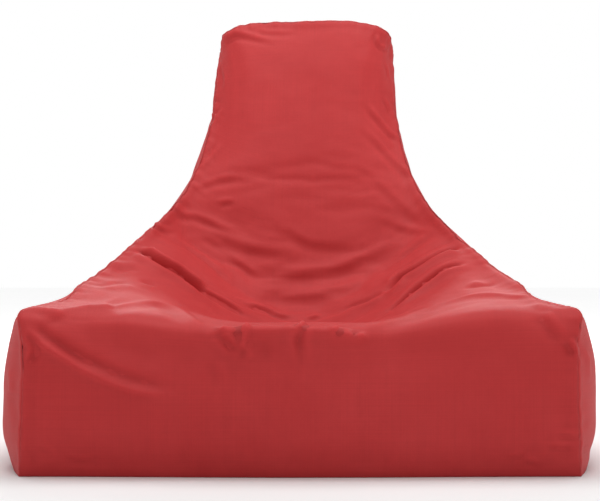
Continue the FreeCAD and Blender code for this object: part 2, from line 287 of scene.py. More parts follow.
number("front", [])
number("left", [((slice(None), -1), ids["front"][:, 0])])
number("right", [((slice(None), 0), ids["front"][:, -1])])
number("rear", [((slice(None), 0), ids["right"][:, -1]), ((slice(None), -1), ids["left"][:, 0])])
number("head", [((0, slice(None)), ids["front"][-1]), ((-1, slice(None)), ids["rear"][-1, ::-1]),
                ((slice(None), 0), ids["left"][-1, ::-1]), ((slice(None), -1), ids["right"][-1])])
number("base", [((0, slice(None)), ids["rear"][0, ::-1]), ((-1, slice(None)), ids["front"][0]),
                ((slice(None), 0), ids["left"][0]), ((slice(None), -1), ids["right"][0, ::-1])])
P = np.concatenate(points)
N = len(P)


def quads(n):
    return np.stack([n[:-1, :-1], n[:-1, 1:], n[1:, 1:], n[1:, :-1]], -1).reshape(-1, 4)


FACES = np.concatenate([quads(ids[k]) for k in ids])


def normals(p):
    a, b, c, d = (p[FACES[:, i]] for i in range(4))
    f = np.cross(c - a, d - b)
    out = np.zeros_like(p)
    for i in range(4):
        for k in range(3):
            out[:, k] += np.bincount(FACES[:, i], f[:, k], N)
    return out / np.maximum(np.linalg.norm(out, axis=1, keepdims=True), 1e-12)


EDGES = np.unique(np.sort(np.concatenate([FACES[:, [i, (i + 1) % 4]] for i in range(4)]), axis=1), axis=0)
DEGREE = np.bincount(EDGES.ravel(), minlength=N)[:, None]


def relax(field, times, share=0.5):
    """Smooths a field over the skin's edges."""
    f = field.copy()
    flat = f.ndim == 1
    if flat:
        f = f[:, None]
    for _ in range(times):
        s = np.zeros_like(f)
        for k in range(f.shape[1]):
            s[:, k] = np.bincount(EDGES[:, 0], f[EDGES[:, 1], k], N) + np.bincount(EDGES[:, 1], f[EDGES[:, 0], k], N)
        f = f + share * (s / DEGREE - f)
    return f[:, 0] if flat else f


BASE_N = normals(P)
print("skin", N, "points", len(FACES), "quads", "long", round(LONG))


# ------------------------------------------------------------------------------------ distances to the seams
def lengths(g, axis):
    d = np.linalg.norm(np.diff(g, axis=axis), axis=2)
    z = np.zeros((1, g.shape[1]) if axis == 0 else (g.shape[0], 1))
    return np.concatenate([z, np.cumsum(d, axis=axis)], axis=axis)


SEAMS = {  # for each panel: seam name at its first row, last row, first column and last column
    "front": ("base_front", "head_front", "front_left", "front_right"),
    "rear": ("base_rear", "head_rear", "rear_right", "rear_left"),
    "left": ("base_left", "head_left", "rear_left", "front_left"),
    "right": ("base_right", "head_right", "front_right", "rear_right"),
    "head": ("head_front", "head_rear", "head_left", "head_right"),
    "base": ("base_rear", "base_front", "base_left", "base_right"),
}
NAMES = sorted({s for v in SEAMS.values() for s in v})


def seam_coordinates(name):
    """[(seam name, distance to it, place along it)] as grids, for a panel's four seams."""
    g = GRIDS[name]
    down, across = lengths(g, 0), lengths(g, 1)
    out = []
    for side, seam in enumerate(SEAMS[name]):
        if side == 0:
            d, s = down, np.broadcast_to(across[0], down.shape)
        elif side == 1:
            d, s = down[-1] - down, np.broadcast_to(across[-1], down.shape)
        elif side == 2:
            d, s = across, np.broadcast_to(down[:, :1], down.shape)
        else:
            d, s = across[:, -1:] - across, np.broadcast_to(down[:, -1:], down.shape)
        out.append((seam, d, s))
    return out


# ------------------------------------------------------------------------------------ seeded noise
class Noise:
    def __init__(self, seed):
        r = np.random.RandomState(seed)
        self.perm = r.permutation(512)
        g = r.normal(size=(512, 3))
        self.grad = g / np.linalg.norm(g, axis=1, keepdims=True)

    def __call__(self, p):
        p = np.asarray(p, float)
        i = np.floor(p).astype(int)
        f = p - i
        u = f * f * f * (f * (f * 6 - 15) + 10)
        total = np.zeros(len(p))
        for dx in (0, 1):
            for dy in (0, 1):
                for dz in (0, 1):
                    h = self.perm[(i[:, 0] + dx) & 511]
                    h = self.perm[(h + i[:, 1] + dy) & 511]
                    h = self.perm[(h + i[:, 2] + dz) & 511]
                    dot = ((f - (dx, dy, dz)) * self.grad[h]).sum(1)
                    w = (u[:, 0] if dx else 1 - u[:, 0]) * (u[:, 1] if dy else 1 - u[:, 1]) * (u[:, 2] if dz else 1 - u[:, 2])
                    total += w * dot
        return total * 1.6


# ------------------------------------------------------------------------------------ creases and folds
def curve_through(pts, step=3.0):
    """Smooth line through the points, evenly spaced."""
    p = np.array(pts, float)
    if len(p) > 2:
        e = np.vstack([2 * p[0] - p[1], p, 2 * p[-1] - p[-2]])
        out = []
        for i in range(1, len(e) - 2):
            t = np.linspace(0, 1, 12, endpoint=False)[:, None]
            a, b, c, d = e[i - 1], e[i], e[i + 1], e[i + 2]
            out.append(0.5 * (2 * b + (c - a) * t + (2 * a - 5 * b + 4 * c - d) * t ** 2 + (3 * b - a - 3 * c + d) * t ** 3))
        p = np.vstack(out + [p[-1:]])
    along = np.concatenate([[0], np.cumsum(np.linalg.norm(np.diff(p, axis=0), axis=1))])
    n = max(3, int(along[-1] / step) + 1)
    at = np.linspace(0, along[-1], n)
    return np.stack([np.interp(at, along, p[:, k]) for k in range(3)], 1)


def stroke(field, pinch, p, nrm, pts, profile, taper=(0.25, 0.25), pull=0.0, reach=None, bend=0.0):
    """Adds one fold to field, the height along the normal. profile is [(offset, height, width)] across the line, with positive
    offsets to the left of the way that the line runs, seen from outside. pull draws the cloth sideways towards the line."""
    line = curve_through(pts)
    wide = reach or max(abs(o) + 3.2 * w for o, _, w in profile)
    lo, hi = line.min(0) - wide, line.max(0) + wide
    near = np.where(((p > lo) & (p < hi)).all(1))[0]
    if not len(near):
        return
    q = p[near]
    best = np.full(len(q), 1e18)
    at = np.zeros(len(q), int)
    for s in range(0, len(line), 64):
        d = ((q[:, None, :] - line[None, s:s + 64, :]) ** 2).sum(2)
        j = d.argmin(1)
        v = d[np.arange(len(q)), j]
        better = v < best
        best[better], at[better] = v[better], j[better] + s
    tangent = np.gradient(line, axis=0)
    tangent /= np.linalg.norm(tangent, axis=1, keepdims=True)
    # nearest place between samples
    off = ((q - line[at]) * tangent[at]).sum(1)
    step = np.linalg.norm(line[1] - line[0])
    place = np.clip(at + np.clip(off / step, -0.5, 0.5), 0, len(line) - 1)
    foot = np.stack([np.interp(place, np.arange(len(line)), line[:, k]) for k in range(3)], 1)
    beyond = np.where(at == 0, np.minimum(off + 0.0, 0), np.where(at == len(line) - 1, np.maximum(off, 0), 0))
    side = np.cross(nrm[near], tangent[at])
    side /= np.maximum(np.linalg.norm(side, axis=1, keepdims=True), 1e-9)
    d = ((q - foot) * side).sum(1)
    rest = np.sqrt(np.maximum(((q - foot) ** 2).sum(1) - d ** 2 - beyond ** 2, 0))   # depth away from the line's own level
    t = place / (len(line) - 1)
    a = np.ones(len(q))
    if taper[0] > 0:
        a *= np.clip(t / taper[0], 0, 1) ** 1.3
    if taper[1] > 0:
        a *= np.clip((1 - t) / taper[1], 0, 1) ** 1.3
    a = a * a * (3 - 2 * a)
    a *= np.exp(-(beyond / 9.0) ** 2) * np.exp(-(rest / (wide * 1.2)) ** 4)
    facing = (nrm[near] * nrm_at(foot, nrm, p, near, at, len(line))).sum(1)
    a *= np.clip(facing * 1.6 - 0.2, 0, 1)
    h = np.zeros(len(q))
    for o, amp, w in profile:
        h += amp * np.exp(-((d - o) / w) ** 2)
    field[near] += h * a
    if pull:
        w0 = min(w for _, _, w in profile)
        pinch[near] += (-side * (np.clip(d, -2.5 * w0, 2.5 * w0) * np.exp(-(d / (1.6 * w0)) ** 2))[:, None]) * (pull * a)[:, None]


def nrm_at(foot, nrm, p, near, at, count):
    """The mean surface normal beside each of a line's places, for each point near it."""
    d = ((p[near] - foot) ** 2).sum(1)
    w = np.exp(-d / 150.0) + 1e-12
    out = np.zeros((count, 3))
    for k in range(3):
        out[:, k] = np.bincount(at, nrm[near, k] * w, count)
    for _ in range(3):
        out[1:-1] = (out[:-2] + 2 * out[1:-1] + out[2:]) / 4
    out /= np.maximum(np.linalg.norm(out, axis=1, keepdims=True), 1e-9)
    return out[at]


FOLDS = [
    # ridge along the top of the front roll, left
    dict(pts=[(-403, -418, 257), (-368, -414, 259), (-335, -391, 262), (-304, -387, 262), (-269, -347, 262), (-235, -295, 260), (-196, -316, 248), (-161, -426, 239), (-144, -449, 226)], profile=[(0, 4.4, 10.0), (-26, -2.2, 16.0)], taper=(0.15, 0.12)),
    # ridge along the top of the front roll, right
    dict(pts=[(67, -451, 223), (117, -429, 235), (157, -389, 240), (184, -331, 245), (232, -300, 259), (267, -290, 270), (298, -297, 275), (332, -309, 274), (363, -331, 270), (377, -391, 262), (406, -421, 256), (432, -429, 252)], profile=[(0, 4.0, 10.0), (-26, -2.0, 16.0)], taper=(0.12, 0.2)),
    # front face, fullest below the middle
    dict(pts=[(-398, -455, 101), (-214, -461, 102), (0, -468, 103), (214, -461, 102), (398, -455, 101)], profile=[(0, 4.5, 48.0)], taper=(0.1, 0.1)),
    # front face, leaning back above
    dict(pts=[(-392, -451, 193), (-214, -456, 193), (0, -462, 187), (214, -456, 193), (392, -451, 193)], profile=[(0, -5.5, 30.0)], taper=(0.1, 0.1)),
    # ridge along the top of the front roll, middle
    dict(pts=[(-144, -453, 219), (-119, -452, 222), (-92, -451, 223), (-49, -450, 224), (0, -450, 224), (38, -452, 222), (61, -455, 218), (86, -455, 216), (116, -450, 225)], profile=[(0, 14.0, 11.5), (14, 1.0, 5.0)], taper=(0.12, 0.12)),
    # pinch 1, valley
    dict(pts=[(-132, -450, 225), (-121, -455, 216), (-108, -459, 204), (-99, -461, 192)], profile=[(0, -5.5, 5.5), (10, 7.0, 5.5), (-10, 2.5, 6.0)], taper=(0.2, 0.3)),
    # pinch 1, bright facet
    dict(pts=[(-91, -433, 233), (-93, -454, 219), (-97, -459, 204), (-99, -461, 192)], profile=[(0, -4.5, 4.5), (8.5, 10.0, 5.5)], taper=(0.12, 0.35)),
    # pinch 1, drop
    dict(pts=[(-92, -460, 203), (-88, -461, 194), (-88, -463, 178)], profile=[(0, -4.0, 5.5), (10, 3.0, 6.5)], taper=(0.3, 0.5)),
    # pinch 2, drop
    dict(pts=[(-5, -438, 232), (-2, -456, 215), (1, -462, 194), (2, -466, 154)], profile=[(0, -7.5, 6.0), (13, 3.5, 8.0), (-13, 3.0, 8.0)], taper=(0.1, 0.75)),
    # pinch 2, light lip
    dict(pts=[(9, -429, 234), (0, -446, 228), (-9, -454, 219), (-17, -456, 215)], profile=[(0, 12.0, 4.5), (9, -7.0, 5.5)], taper=(0.15, 0.45)),
    # pinch 3, light lip
    dict(pts=[(61, -444, 229), (52, -451, 223), (46, -456, 215)], profile=[(0, 9.0, 5.0), (9, -4.0, 7.0)], taper=(0.2, 0.35)),
    # pinch 4, notch
    dict(pts=[(86, -450, 225), (84, -453, 221), (82, -458, 210)], profile=[(0, -6.5, 5.5), (11, 6.0, 6.5), (-11, 6.0, 6.5)], taper=(0.1, 0.45)),
    # pinch 4, line behind
    dict(pts=[(64, -447, 228), (83, -450, 224), (101, -445, 229)], profile=[(0, -3.0, 6.0)], taper=(0.3, 0.3)),
    # front face, soft drop a
    dict(pts=[(-58, -453, 221), (-52, -461, 197), (-49, -464, 172)], profile=[(0, -3.0, 9.0)], taper=(0.3, 0.5)),
    # front face, soft drop b
    dict(pts=[(-125, -460, 193), (-116, -464, 166), (-104, -466, 139)], profile=[(0, 2.8, 10.0), (-16, -2.6, 11.0)], taper=(0.4, 0.4)),
    # left corner, sweeping ridge
    dict(pts=[(-424, -443, 231), (-402, -449, 208), (-366, -452, 185), (-323, -455, 161), (-273, -458, 140), (-224, -461, 129), (-166, -464, 122)], profile=[(0, 8.5, 8.0), (16, -6.0, 8.0), (62, -8.0, 34.0), (-32, -3.0, 24.0)], taper=(0.08, 0.3)),
    # left corner, dark valley above the ridge
    dict(pts=[(-391, -445, 226), (-376, -448, 210), (-351, -451, 188), (-323, -454, 172), (-300, -456, 163)], profile=[(0, -3.0, 7.0)], taper=(0.3, 0.4)),
    # left corner, small fold
    dict(pts=[(-428, -446, 222), (-423, -448, 213), (-415, -450, 202), (-415, -451, 191), (-426, -452, 181)], profile=[(0, 5.4, 4.5), (9, -5.1, 5.5)], taper=(0.25, 0.25)),
    # left corner, side streak
    dict(pts=[(-455, -389, 167), (-451, -401, 146), (-446, -414, 122)], profile=[(0, 4.56, 5)], taper=(0.3, 0.3)),
    # left corner, upper edge
    dict(pts=[(-427, -424, 254), (-404, -414, 259), (-374, -424, 254), (-351, -438, 241)], profile=[(0, 3.2, 9.0), (-18, -2.0, 10.0)], taper=(0.25, 0.4)),
    # right corner, outer arc
    dict(pts=[(411, -447, 217), (418, -449, 206), (424, -451, 194), (423, -452, 179)], profile=[(0, 6.46, 5), (9, -4.94, 6), (-9, -4.94, 6)], taper=(0.3, 0.35)),
    # right corner, side streak
    dict(pts=[(438, -425, 202), (447, -405, 180), (450, -401, 158), (448, -408, 137)], profile=[(0, 5.7, 5)], taper=(0.3, 0.3)),
    # right corner, fold on the roll
    dict(pts=[(374, -418, 257), (391, -439, 240), (404, -446, 220), (411, -450, 196)], profile=[(0, 4.8, 8), (-15, -3.6, 10)], taper=(0.25, 0.4)),
    # right corner, low streak
    dict(pts=[(375, -453, 57), (398, -452, 53), (420, -452, 52)], profile=[(0, 3.8, 5), (-8, -2.66, 5)], taper=(0.4, 0.3)),
    # right corner, higher streak
    dict(pts=[(392, -454, 78), (407, -454, 72), (424, -453, 67)], profile=[(0, 3.8, 5), (-8, -2.66, 5)], taper=(0.4, 0.3)),
    # bottom wrinkle a
    dict(pts=[(313, -450, 34), (330, -451, 38), (349, -451, 40)], profile=[(0, 3.42, 4.5), (-7, -2.47, 5)], taper=(0.4, 0.4)),
    # bottom wrinkle b
    dict(pts=[(337, -449, 33), (358, -447, 26), (379, -444, 19)], profile=[(0, 3.42, 4.5), (-7, -2.47, 5)], taper=(0.4, 0.4)),
    # bottom wrinkle c
    dict(pts=[(-368, -450, 39), (-340, -449, 32), (-310, -449, 29)], profile=[(0, 2.85, 5), (-8, -2.09, 5)], taper=(0.4, 0.4)),
    # bottom wrinkle d
    dict(pts=[(-404, -453, 58), (-386, -451, 47), (-371, -448, 33)], profile=[(0, 3.04, 5), (-8, -2.47, 5)], taper=(0.4, 0.4)),
    # left deep crease
    dict(pts=[(-293, -81, 348), (-276, -86, 342), (-251, -103, 329), (-229, -108, 315), (-211, -106, 305), (-196, -108, 294), (-176, -111, 280), (-157, -113, 267)], profile=[(0, -25.0, 6.0), (14, 11.0, 10.0), (-17, 4.0, 11.0)], taper=(0.2, 0.2), pull=0.2),
    # left deep crease, fine end
    dict(pts=[(-173, -113, 277), (-152, -111, 264), (-132, -107, 252), (-107, -107, 238), (-85, -106, 226)], profile=[(0, -6.5, 5.5), (11, 4.0, 8.0)], taper=(0.15, 0.4)),
    # right crease 1
    dict(pts=[(286, -64, 354), (267, -64, 349), (239, -69, 337), (202, -72, 314), (175, -68, 299), (164, -77, 288), (140, -80, 270)], profile=[(0, -19.0, 9.0), (20, 8.0, 12.0), (-19, 4.0, 11.0)], taper=(0.2, 0.25), pull=0.2),
    # right crease 1, fine end
    dict(pts=[(147, -81, 274), (123, -76, 260), (97, -67, 249), (55, -62, 233)], profile=[(0, -3.8, 7.0), (13, 2.4, 9.0)], taper=(0.15, 0.4)),
    # right crease 2
    dict(pts=[(296, -121, 329), (273, -127, 322), (233, -133, 302), (197, -143, 275), (170, -156, 254), (153, -162, 243), (135, -174, 231)], profile=[(0, -12.5, 6.5), (13, 5.4, 9.0), (-13, 3.0, 9.0)], taper=(0.25, 0.3), pull=0.2),
    # smile fold
    dict(pts=[(-105, -75, 251), (-63, -62, 237), (-39, -67, 226), (-2, -73, 220)], profile=[(0, -4.5, 6.5), (12, 3.2, 8.0)], taper=(0.3, 0.3)),
    # small bump at the seat's centre
    dict(pts=[(5, -64, 225), (21, -60, 228), (39, -55, 233)], profile=[(0, 3.0, 6.0), (-9, -2.5, 6.0)], taper=(0.35, 0.35)),
    # drape a
    dict(pts=[(-190, 59, 396), (-168, 57, 382), (-117, 49, 359), (-65, 40, 347), (-2, 37, 343)], profile=[(0, 1.6, 9.0), (-16, -1.8, 11.0)], taper=(0.3, 0.4)),
    # drape b
    dict(pts=[(-37, 60, 388), (-20, 57, 381), (18, 47, 363), (66, 45, 357), (106, 48, 361)], profile=[(0, 1.2, 9.0), (-16, -1.3, 11.0)], taper=(0.3, 0.4)),
    # drape c
    dict(pts=[(-69, 29, 327), (-36, 20, 314), (-2, 17, 309), (61, 21, 314), (112, 33, 331), (182, 40, 357), (225, 31, 381)], profile=[(0, 2.0, 11.0), (-20, -2.2, 13.0)], taper=(0.25, 0.3)),
    # drape d
    dict(pts=[(-138, 41, 345), (-112, 30, 327), (-87, 19, 311), (-61, 10, 298)], profile=[(0, 1.6, 7.0), (-13, -1.6, 8.0)], taper=(0.35, 0.35)),
    # drape e
    dict(pts=[(-79, -4, 284), (-29, -12, 270), (32, -13, 268), (93, -9, 283), (136, -3, 302)], profile=[(0, 1.3, 11.0), (-20, -1.4, 13.0)], taper=(0.3, 0.35)),
    # drape f
    dict(pts=[(-234, 7, 370), (-206, 15, 352), (-173, 12, 331), (-140, -2, 306), (-107, -26, 278)], profile=[(0, 1.8, 8.0), (-15, -2.0, 9.0)], taper=(0.3, 0.35)),
    # drape g
    dict(pts=[(159, 16, 323), (188, 20, 341), (217, 21, 363), (245, 17, 388)], profile=[(0, 1.6, 8.0), (-14, -1.6, 9.0)], taper=(0.35, 0.35)),
    # back left a
    dict(pts=[(-240, 85, 420), (-219, 56, 416), (-194, 67, 412), (-169, 67, 403), (-145, 63, 392), (-108, 57, 379)], profile=[(0, 2.4, 7.5), (-14, -2.2, 8.0)], taper=(0.25, 0.35)),
    # back left b
    dict(pts=[(-266, 16, 386), (-246, 8, 385), (-221, 32, 383)], profile=[(0, 1.8, 6.0), (-11, -1.6, 7.0)], taper=(0.25, 0.4)),
    # back left c
    dict(pts=[(-182, 51, 376), (-159, 48, 363), (-131, 43, 348)], profile=[(0, 1.6, 7.0), (-12, -1.6, 7.0)], taper=(0.35, 0.35)),
    # back left d
    dict(pts=[(-211, 92, 455), (-186, 105, 467), (-162, 111, 476), (-119, 111, 484), (-85, 104, 476)], profile=[(0, 2.0, 7.5), (-13, -1.8, 8.0)], taper=(0.3, 0.4)),
    # back left e
    dict(pts=[(-158, 81, 431), (-140, 84, 437), (-114, 84, 438)], profile=[(0, 2.0, 6.0), (-10, -2.0, 6.0)], taper=(0.35, 0.4)),
    # back left f
    dict(pts=[(-146, 210, 619), (-157, 210, 602), (-168, 198, 578)], profile=[(0, 2.2, 6.0), (-10, -2.0, 6.0)], taper=(0.35, 0.3)),
    # back left g
    dict(pts=[(-145, 164, 555), (-160, 154, 532), (-176, 142, 511), (-192, 125, 490)], profile=[(0, 2.6, 7.0), (-12, -2.4, 7.0)], taper=(0.4, 0.3)),
    # back left h
    dict(pts=[(-153, 289, 711), (-143, 246, 676), (-146, 229, 644)], profile=[(0, 1.8, 6.0), (-10, -1.6, 7.0)], taper=(0.4, 0.4)),
    # back right a
    dict(pts=[(163, 259, 716), (171, 266, 693), (176, 260, 666)], profile=[(0, 2.0, 5.0), (-9, -1.8, 6.0)], taper=(0.35, 0.35)),
    # back right b
    dict(pts=[(122, 189, 637), (142, 183, 606), (169, 183, 573), (194, 186, 545)], profile=[(0, 2.8, 6.5), (-12, -2.6, 7.0)], taper=(0.4, 0.2)),
    # back right c
    dict(pts=[(157, 217, 643), (171, 220, 620), (182, 208, 590)], profile=[(0, 2.2, 5.5), (-10, -2.0, 6.0)], taper=(0.35, 0.3)),
    # back right d
    dict(pts=[(106, 165, 595), (128, 158, 570), (158, 152, 540), (195, 133, 499), (223, 116, 456)], profile=[(0, 2.4, 7.5), (-14, -2.2, 8.0)], taper=(0.4, 0.25)),
    # back right e
    dict(pts=[(97, 130, 527), (130, 116, 493), (170, 95, 453), (209, 66, 416), (249, 13, 388)], profile=[(0, 1.6, 10.0), (-16, -1.6, 10.0)], taper=(0.45, 0.3)),
    # back right f
    dict(pts=[(132, 71, 411), (169, 64, 396), (208, 47, 385), (251, 2, 379)], profile=[(0, 1.3, 8.0), (-12, -1.2, 8.0)], taper=(0.4, 0.25)),
    # left wing a
    dict(pts=[(-320, -159, 314), (-294, -148, 316), (-269, -141, 314)], profile=[(0, -3.0, 9.0), (20, 2.0, 11.0)], taper=(0.3, 0.35)),
    # left wing b
    dict(pts=[(-345, -262, 287), (-317, -234, 291), (-282, -195, 294)], profile=[(0, -3.6, 10.0), (-24, 3.0, 14.0)], taper=(0.3, 0.35)),
    # left wing c
    dict(pts=[(-275, -186, 294), (-257, -181, 289), (-240, -177, 282)], profile=[(0, -3.6, 9.0), (-20, 2.0, 10.0)], taper=(0.35, 0.35)),
    # left wing d
    dict(pts=[(-291, -422, 255), (-310, -363, 264), (-299, -324, 269), (-279, -297, 272)], profile=[(0, 2.4, 9.0), (-16, -2.0, 9.0)], taper=(0.35, 0.4)),
    # right wing a
    dict(pts=[(265, -218, 282), (287, -230, 286), (310, -231, 291), (329, -214, 297)], profile=[(0, -3.6, 9.0), (20, 2.6, 10.0)], taper=(0.35, 0.35)),
    # right wing b
    dict(pts=[(304, -151, 316), (328, -178, 308), (350, -245, 291), (369, -296, 278)], profile=[(0, 3.6, 12.0), (-26, -2.6, 14.0)], taper=(0.3, 0.3)),
    # head fold a
    dict(pts=[(-149, 289, 754), (-137, 273, 762), (-121, 266, 767), (-72, 256, 754), (-31, 247, 743)], profile=[(0, 3.0, 6.5), (-12, -2.8, 7.0)], taper=(0.15, 0.45)),
    # head fold b
    dict(pts=[(155, 269, 766), (151, 260, 751), (158, 261, 740), (172, 282, 736)], profile=[(0, 2.6, 4.5), (-8, -2.2, 5.0)], taper=(0.3, 0.3)),
    # head fold c
    dict(pts=[(-105, 272, 778), (-74, 268, 771), (-31, 266, 769), (8, 271, 776)], profile=[(0, 2.2, 6.0), (-11, -1.8, 6.0)], taper=(0.35, 0.4)),
]


# ------------------------------------------------------------------------------------ the shape of the filled cover
height = np.zeros(N)
pinch = np.zeros((N, 3))
for s in FOLDS:
    stroke(height, pinch, P, BASE_N, **s)
height, pinch = relax(height, 2), relax(pinch, 2)

n1, n2, n3, n4 = Noise(11), Noise(23), Noise(37), Noise(51)
flat_foot = np.clip(P[:, 2] / 25.0, 0, 1) ** 2          # nothing moves at the floor
zip_calm = 1 - np.clip(1.6 - np.hypot((P[:, 2] - ZIP_Z) / 42.0, np.maximum(np.abs(P[:, 0]) - 300, 0) / 30.0), 0, 1) * (P[:, 1] > 440)

# slow dents where loose filling has settled, calmer over the taut front face
front_face = np.clip((-P[:, 1] - 380) / 50, 0, 1)
settle = 2.6 * n1(P / 150.0) + 1.1 * n2(P / 62.0) + 0.35 * n3(P / 27.0)
height += settle * (1 - 0.45 * front_face)

# puckers: short ripples that run away from each seam, because the stitching draws the cloth in
seam_near = np.full(N, 1e9)
pucker = np.zeros(N)
hits = np.zeros(N)
for name in ids:
    n = ids[name].ravel()
    total = np.zeros(len(n))
    least = np.full(len(n), 1e9)
    for seam, d, s in seam_coordinates(name):
        d, s = d.ravel(), s.ravel()
        k = NAMES.index(seam)
        c = np.stack([s / 17.0, d / 80.0, np.full(len(d), 7.3 * k)], 1)
        fine_c = np.stack([s / 8.0, d / 34.0, np.full(len(d), 3.1 * k + 50)], 1)
        strong = 0.45 + 0.9 * np.clip(n4(np.stack([s / 130.0, np.full(len(d), 0.5), np.full(len(d), 5.7 * k)], 1)) + 0.25, 0, 1)
        total += 3.0 * n2(c) * strong * np.exp(-(d / 30.0) ** 1.3) + 1.1 * n3(fine_c) * strong * np.exp(-(d / 11.0) ** 1.3)
        total += -1.9 * np.exp(-(d / 2.6) ** 2) + 1.0 * np.exp(-((d - 9.0) / 7.0) ** 2) - 0.0
        least = np.minimum(least, d)
    pucker += np.bincount(n, total, N)
    hits += np.bincount(n, minlength=N)
    np.minimum.at(seam_near, n, least)
pucker /= hits
height += pucker
height *= flat_foot * zip_calm
pinch *= flat_foot[:, None]
S = P + BASE_N * height[:, None] + pinch
S[:, 2] = np.maximum(S[:, 2], 0.0)
on_floor = np.zeros(N, bool)
on_floor[ids["base"].ravel()] = True
S[on_floor, 2] = 0.0

# ------------------------------------------------------------------------------------ a short cloth simulation
def settle_cloth(points, cell=0.0095, frames=20, cap=9.0):
    """Blows the closed cover up as cloth that is slightly too large for its filling, and gives the ripples that form as a
    displacement of each point. The base stays on the floor and the zip stays flat."""
    me = bpy.data.meshes.new("settling")
    v = points / 1000.0
    me.vertices.add(len(v))
    me.vertices.foreach_set("co", v.astype(np.float32).ravel())
    me.loops.add(FACES.size)
    me.loops.foreach_set("vertex_index", FACES.astype(np.int32).ravel())
    me.polygons.add(len(FACES))
    me.polygons.foreach_set("loop_start", np.arange(0, FACES.size, 4).astype(np.int32))
    me.polygons.foreach_set("loop_total", np.full(len(FACES), 4, np.int32))
    me.update(calc_edges=True)
    ob = bpy.data.objects.new("settling", me)
    SCENE.collection.objects.link(ob)
    rm = ob.modifiers.new("even", "REMESH")
    rm.mode, rm.voxel_size = "VOXEL", cell
    dg = bpy.context.evaluated_depsgraph_get()
    even = bpy.data.meshes.new_from_object(ob.evaluated_get(dg))
    ob.modifiers.clear()
    ob.data = even
    n = len(even.vertices)
    rest = np.zeros(n * 3, np.float32)
    even.vertices.foreach_get("co", rest)
    rest = rest.reshape(-1, 3).astype(float)
    edges = np.zeros(len(even.edges) * 2, np.int32)
    even.edges.foreach_get("vertices", edges)
    edges = edges.reshape(-1, 2)
    pin = ob.vertex_groups.new(name="held")
    held = np.clip((0.016 - rest[:, 2]) / 0.010, 0, 1)
    near_zip = (rest[:, 1] > 0.43) & (np.abs(rest[:, 2] - ZIP_Z / 1000) < 0.035) & (np.abs(rest[:, 0]) < 0.32)
    held[near_zip] = 1.0
    for i in np.where(held > 0.01)[0]:
        pin.add([int(i)], float(held[i]), "REPLACE")
    cl = ob.modifiers.new("cloth", "CLOTH")
    st = cl.settings
    st.quality = 5
    st.mass = 0.25
    st.air_damping = 4.0
    st.tension_stiffness = st.compression_stiffness = 60.0
    st.shear_stiffness = 25.0
    st.bending_stiffness = 0.25
    st.tension_damping = st.compression_damping = st.shear_damping = 12.0
    st.use_pressure = True
    st.uniform_pressure_force = 4.0
    st.shrink_min = st.shrink_max = -0.022
    st.effector_weights.gravity = 0.0
    st.vertex_group_mass = "held"
    cl.collision_settings.use_collision = False
    cl.collision_settings.use_self_collision = False
    cl.point_cache.frame_start, cl.point_cache.frame_end = 1, frames
    for f in range(1, frames + 1):
        SCENE.frame_set(f)
    dg = bpy.context.evaluated_depsgraph_get()
    done = bpy.data.meshes.new_from_object(ob.evaluated_get(dg))
    after = np.zeros(n * 3, np.float32)
    done.vertices.foreach_get("co", after)
    move = (after.reshape(-1, 3) - rest) * 1000.0
    degree = np.maximum(np.bincount(edges.ravel(), minlength=n), 1)[:, None]

    def even_out(f, times):
        for _ in range(times):
            s = np.stack([np.bincount(edges[:, 0], f[edges[:, 1], k], n) + np.bincount(edges[:, 1], f[edges[:, 0], k], n) for k in range(3)], 1)
            f = 0.5 * f + 0.5 * s / degree
        return f
    # only the ripples are kept: the broad swelling is what the chair's own shape already has
    ripple = even_out(move, 1) - even_out(move, 110)
    size = np.linalg.norm(ripple, axis=1, keepdims=True)
    print("settling", n, "points, moved", move.std().round(2), "ripples", np.percentile(size, [50, 90, 99]).round(2))
    ripple *= np.minimum(1.0, cap / np.maximum(size, 1e-6))
    polys = [tuple(p.vertices) for p in even.polygons]
    tree = BVHTree.FromPolygons([tuple(p) for p in rest], polys)
    corner = np.array([p if len(p) == 4 else (p[0], p[1], p[2], p[2]) for p in polys])
    hit = np.array([tree.find_nearest(p)[2] or 0 for p in map(tuple, v)])
    c = corner[hit]
    w = 1.0 / (((rest[c] - v[:, None, :]) ** 2).sum(2) + 1e-7)
    w /= w.sum(1, keepdims=True)
    out = (ripple[c] * w[:, :, None]).sum(1)
    bpy.data.objects.remove(ob)
    SCENE.frame_set(1)
    return relax(out, 5)


ripples = settle_cloth(S)
hold = 0.42 * flat_foot * zip_calm * (1 - np.exp(-(seam_near / 24.0) ** 2))
S = S + ripples * hold[:, None]
S[:, 2] = np.maximum(S[:, 2], 0.0)
S[on_floor, 2] = 0.0
SURF_N = normals(S)
print("height", height.min(), height.max())


# ------------------------------------------------------------------------------------ pieces
def take(name, rows=1, cols=1):
    return ids[name][::rows, ::cols]


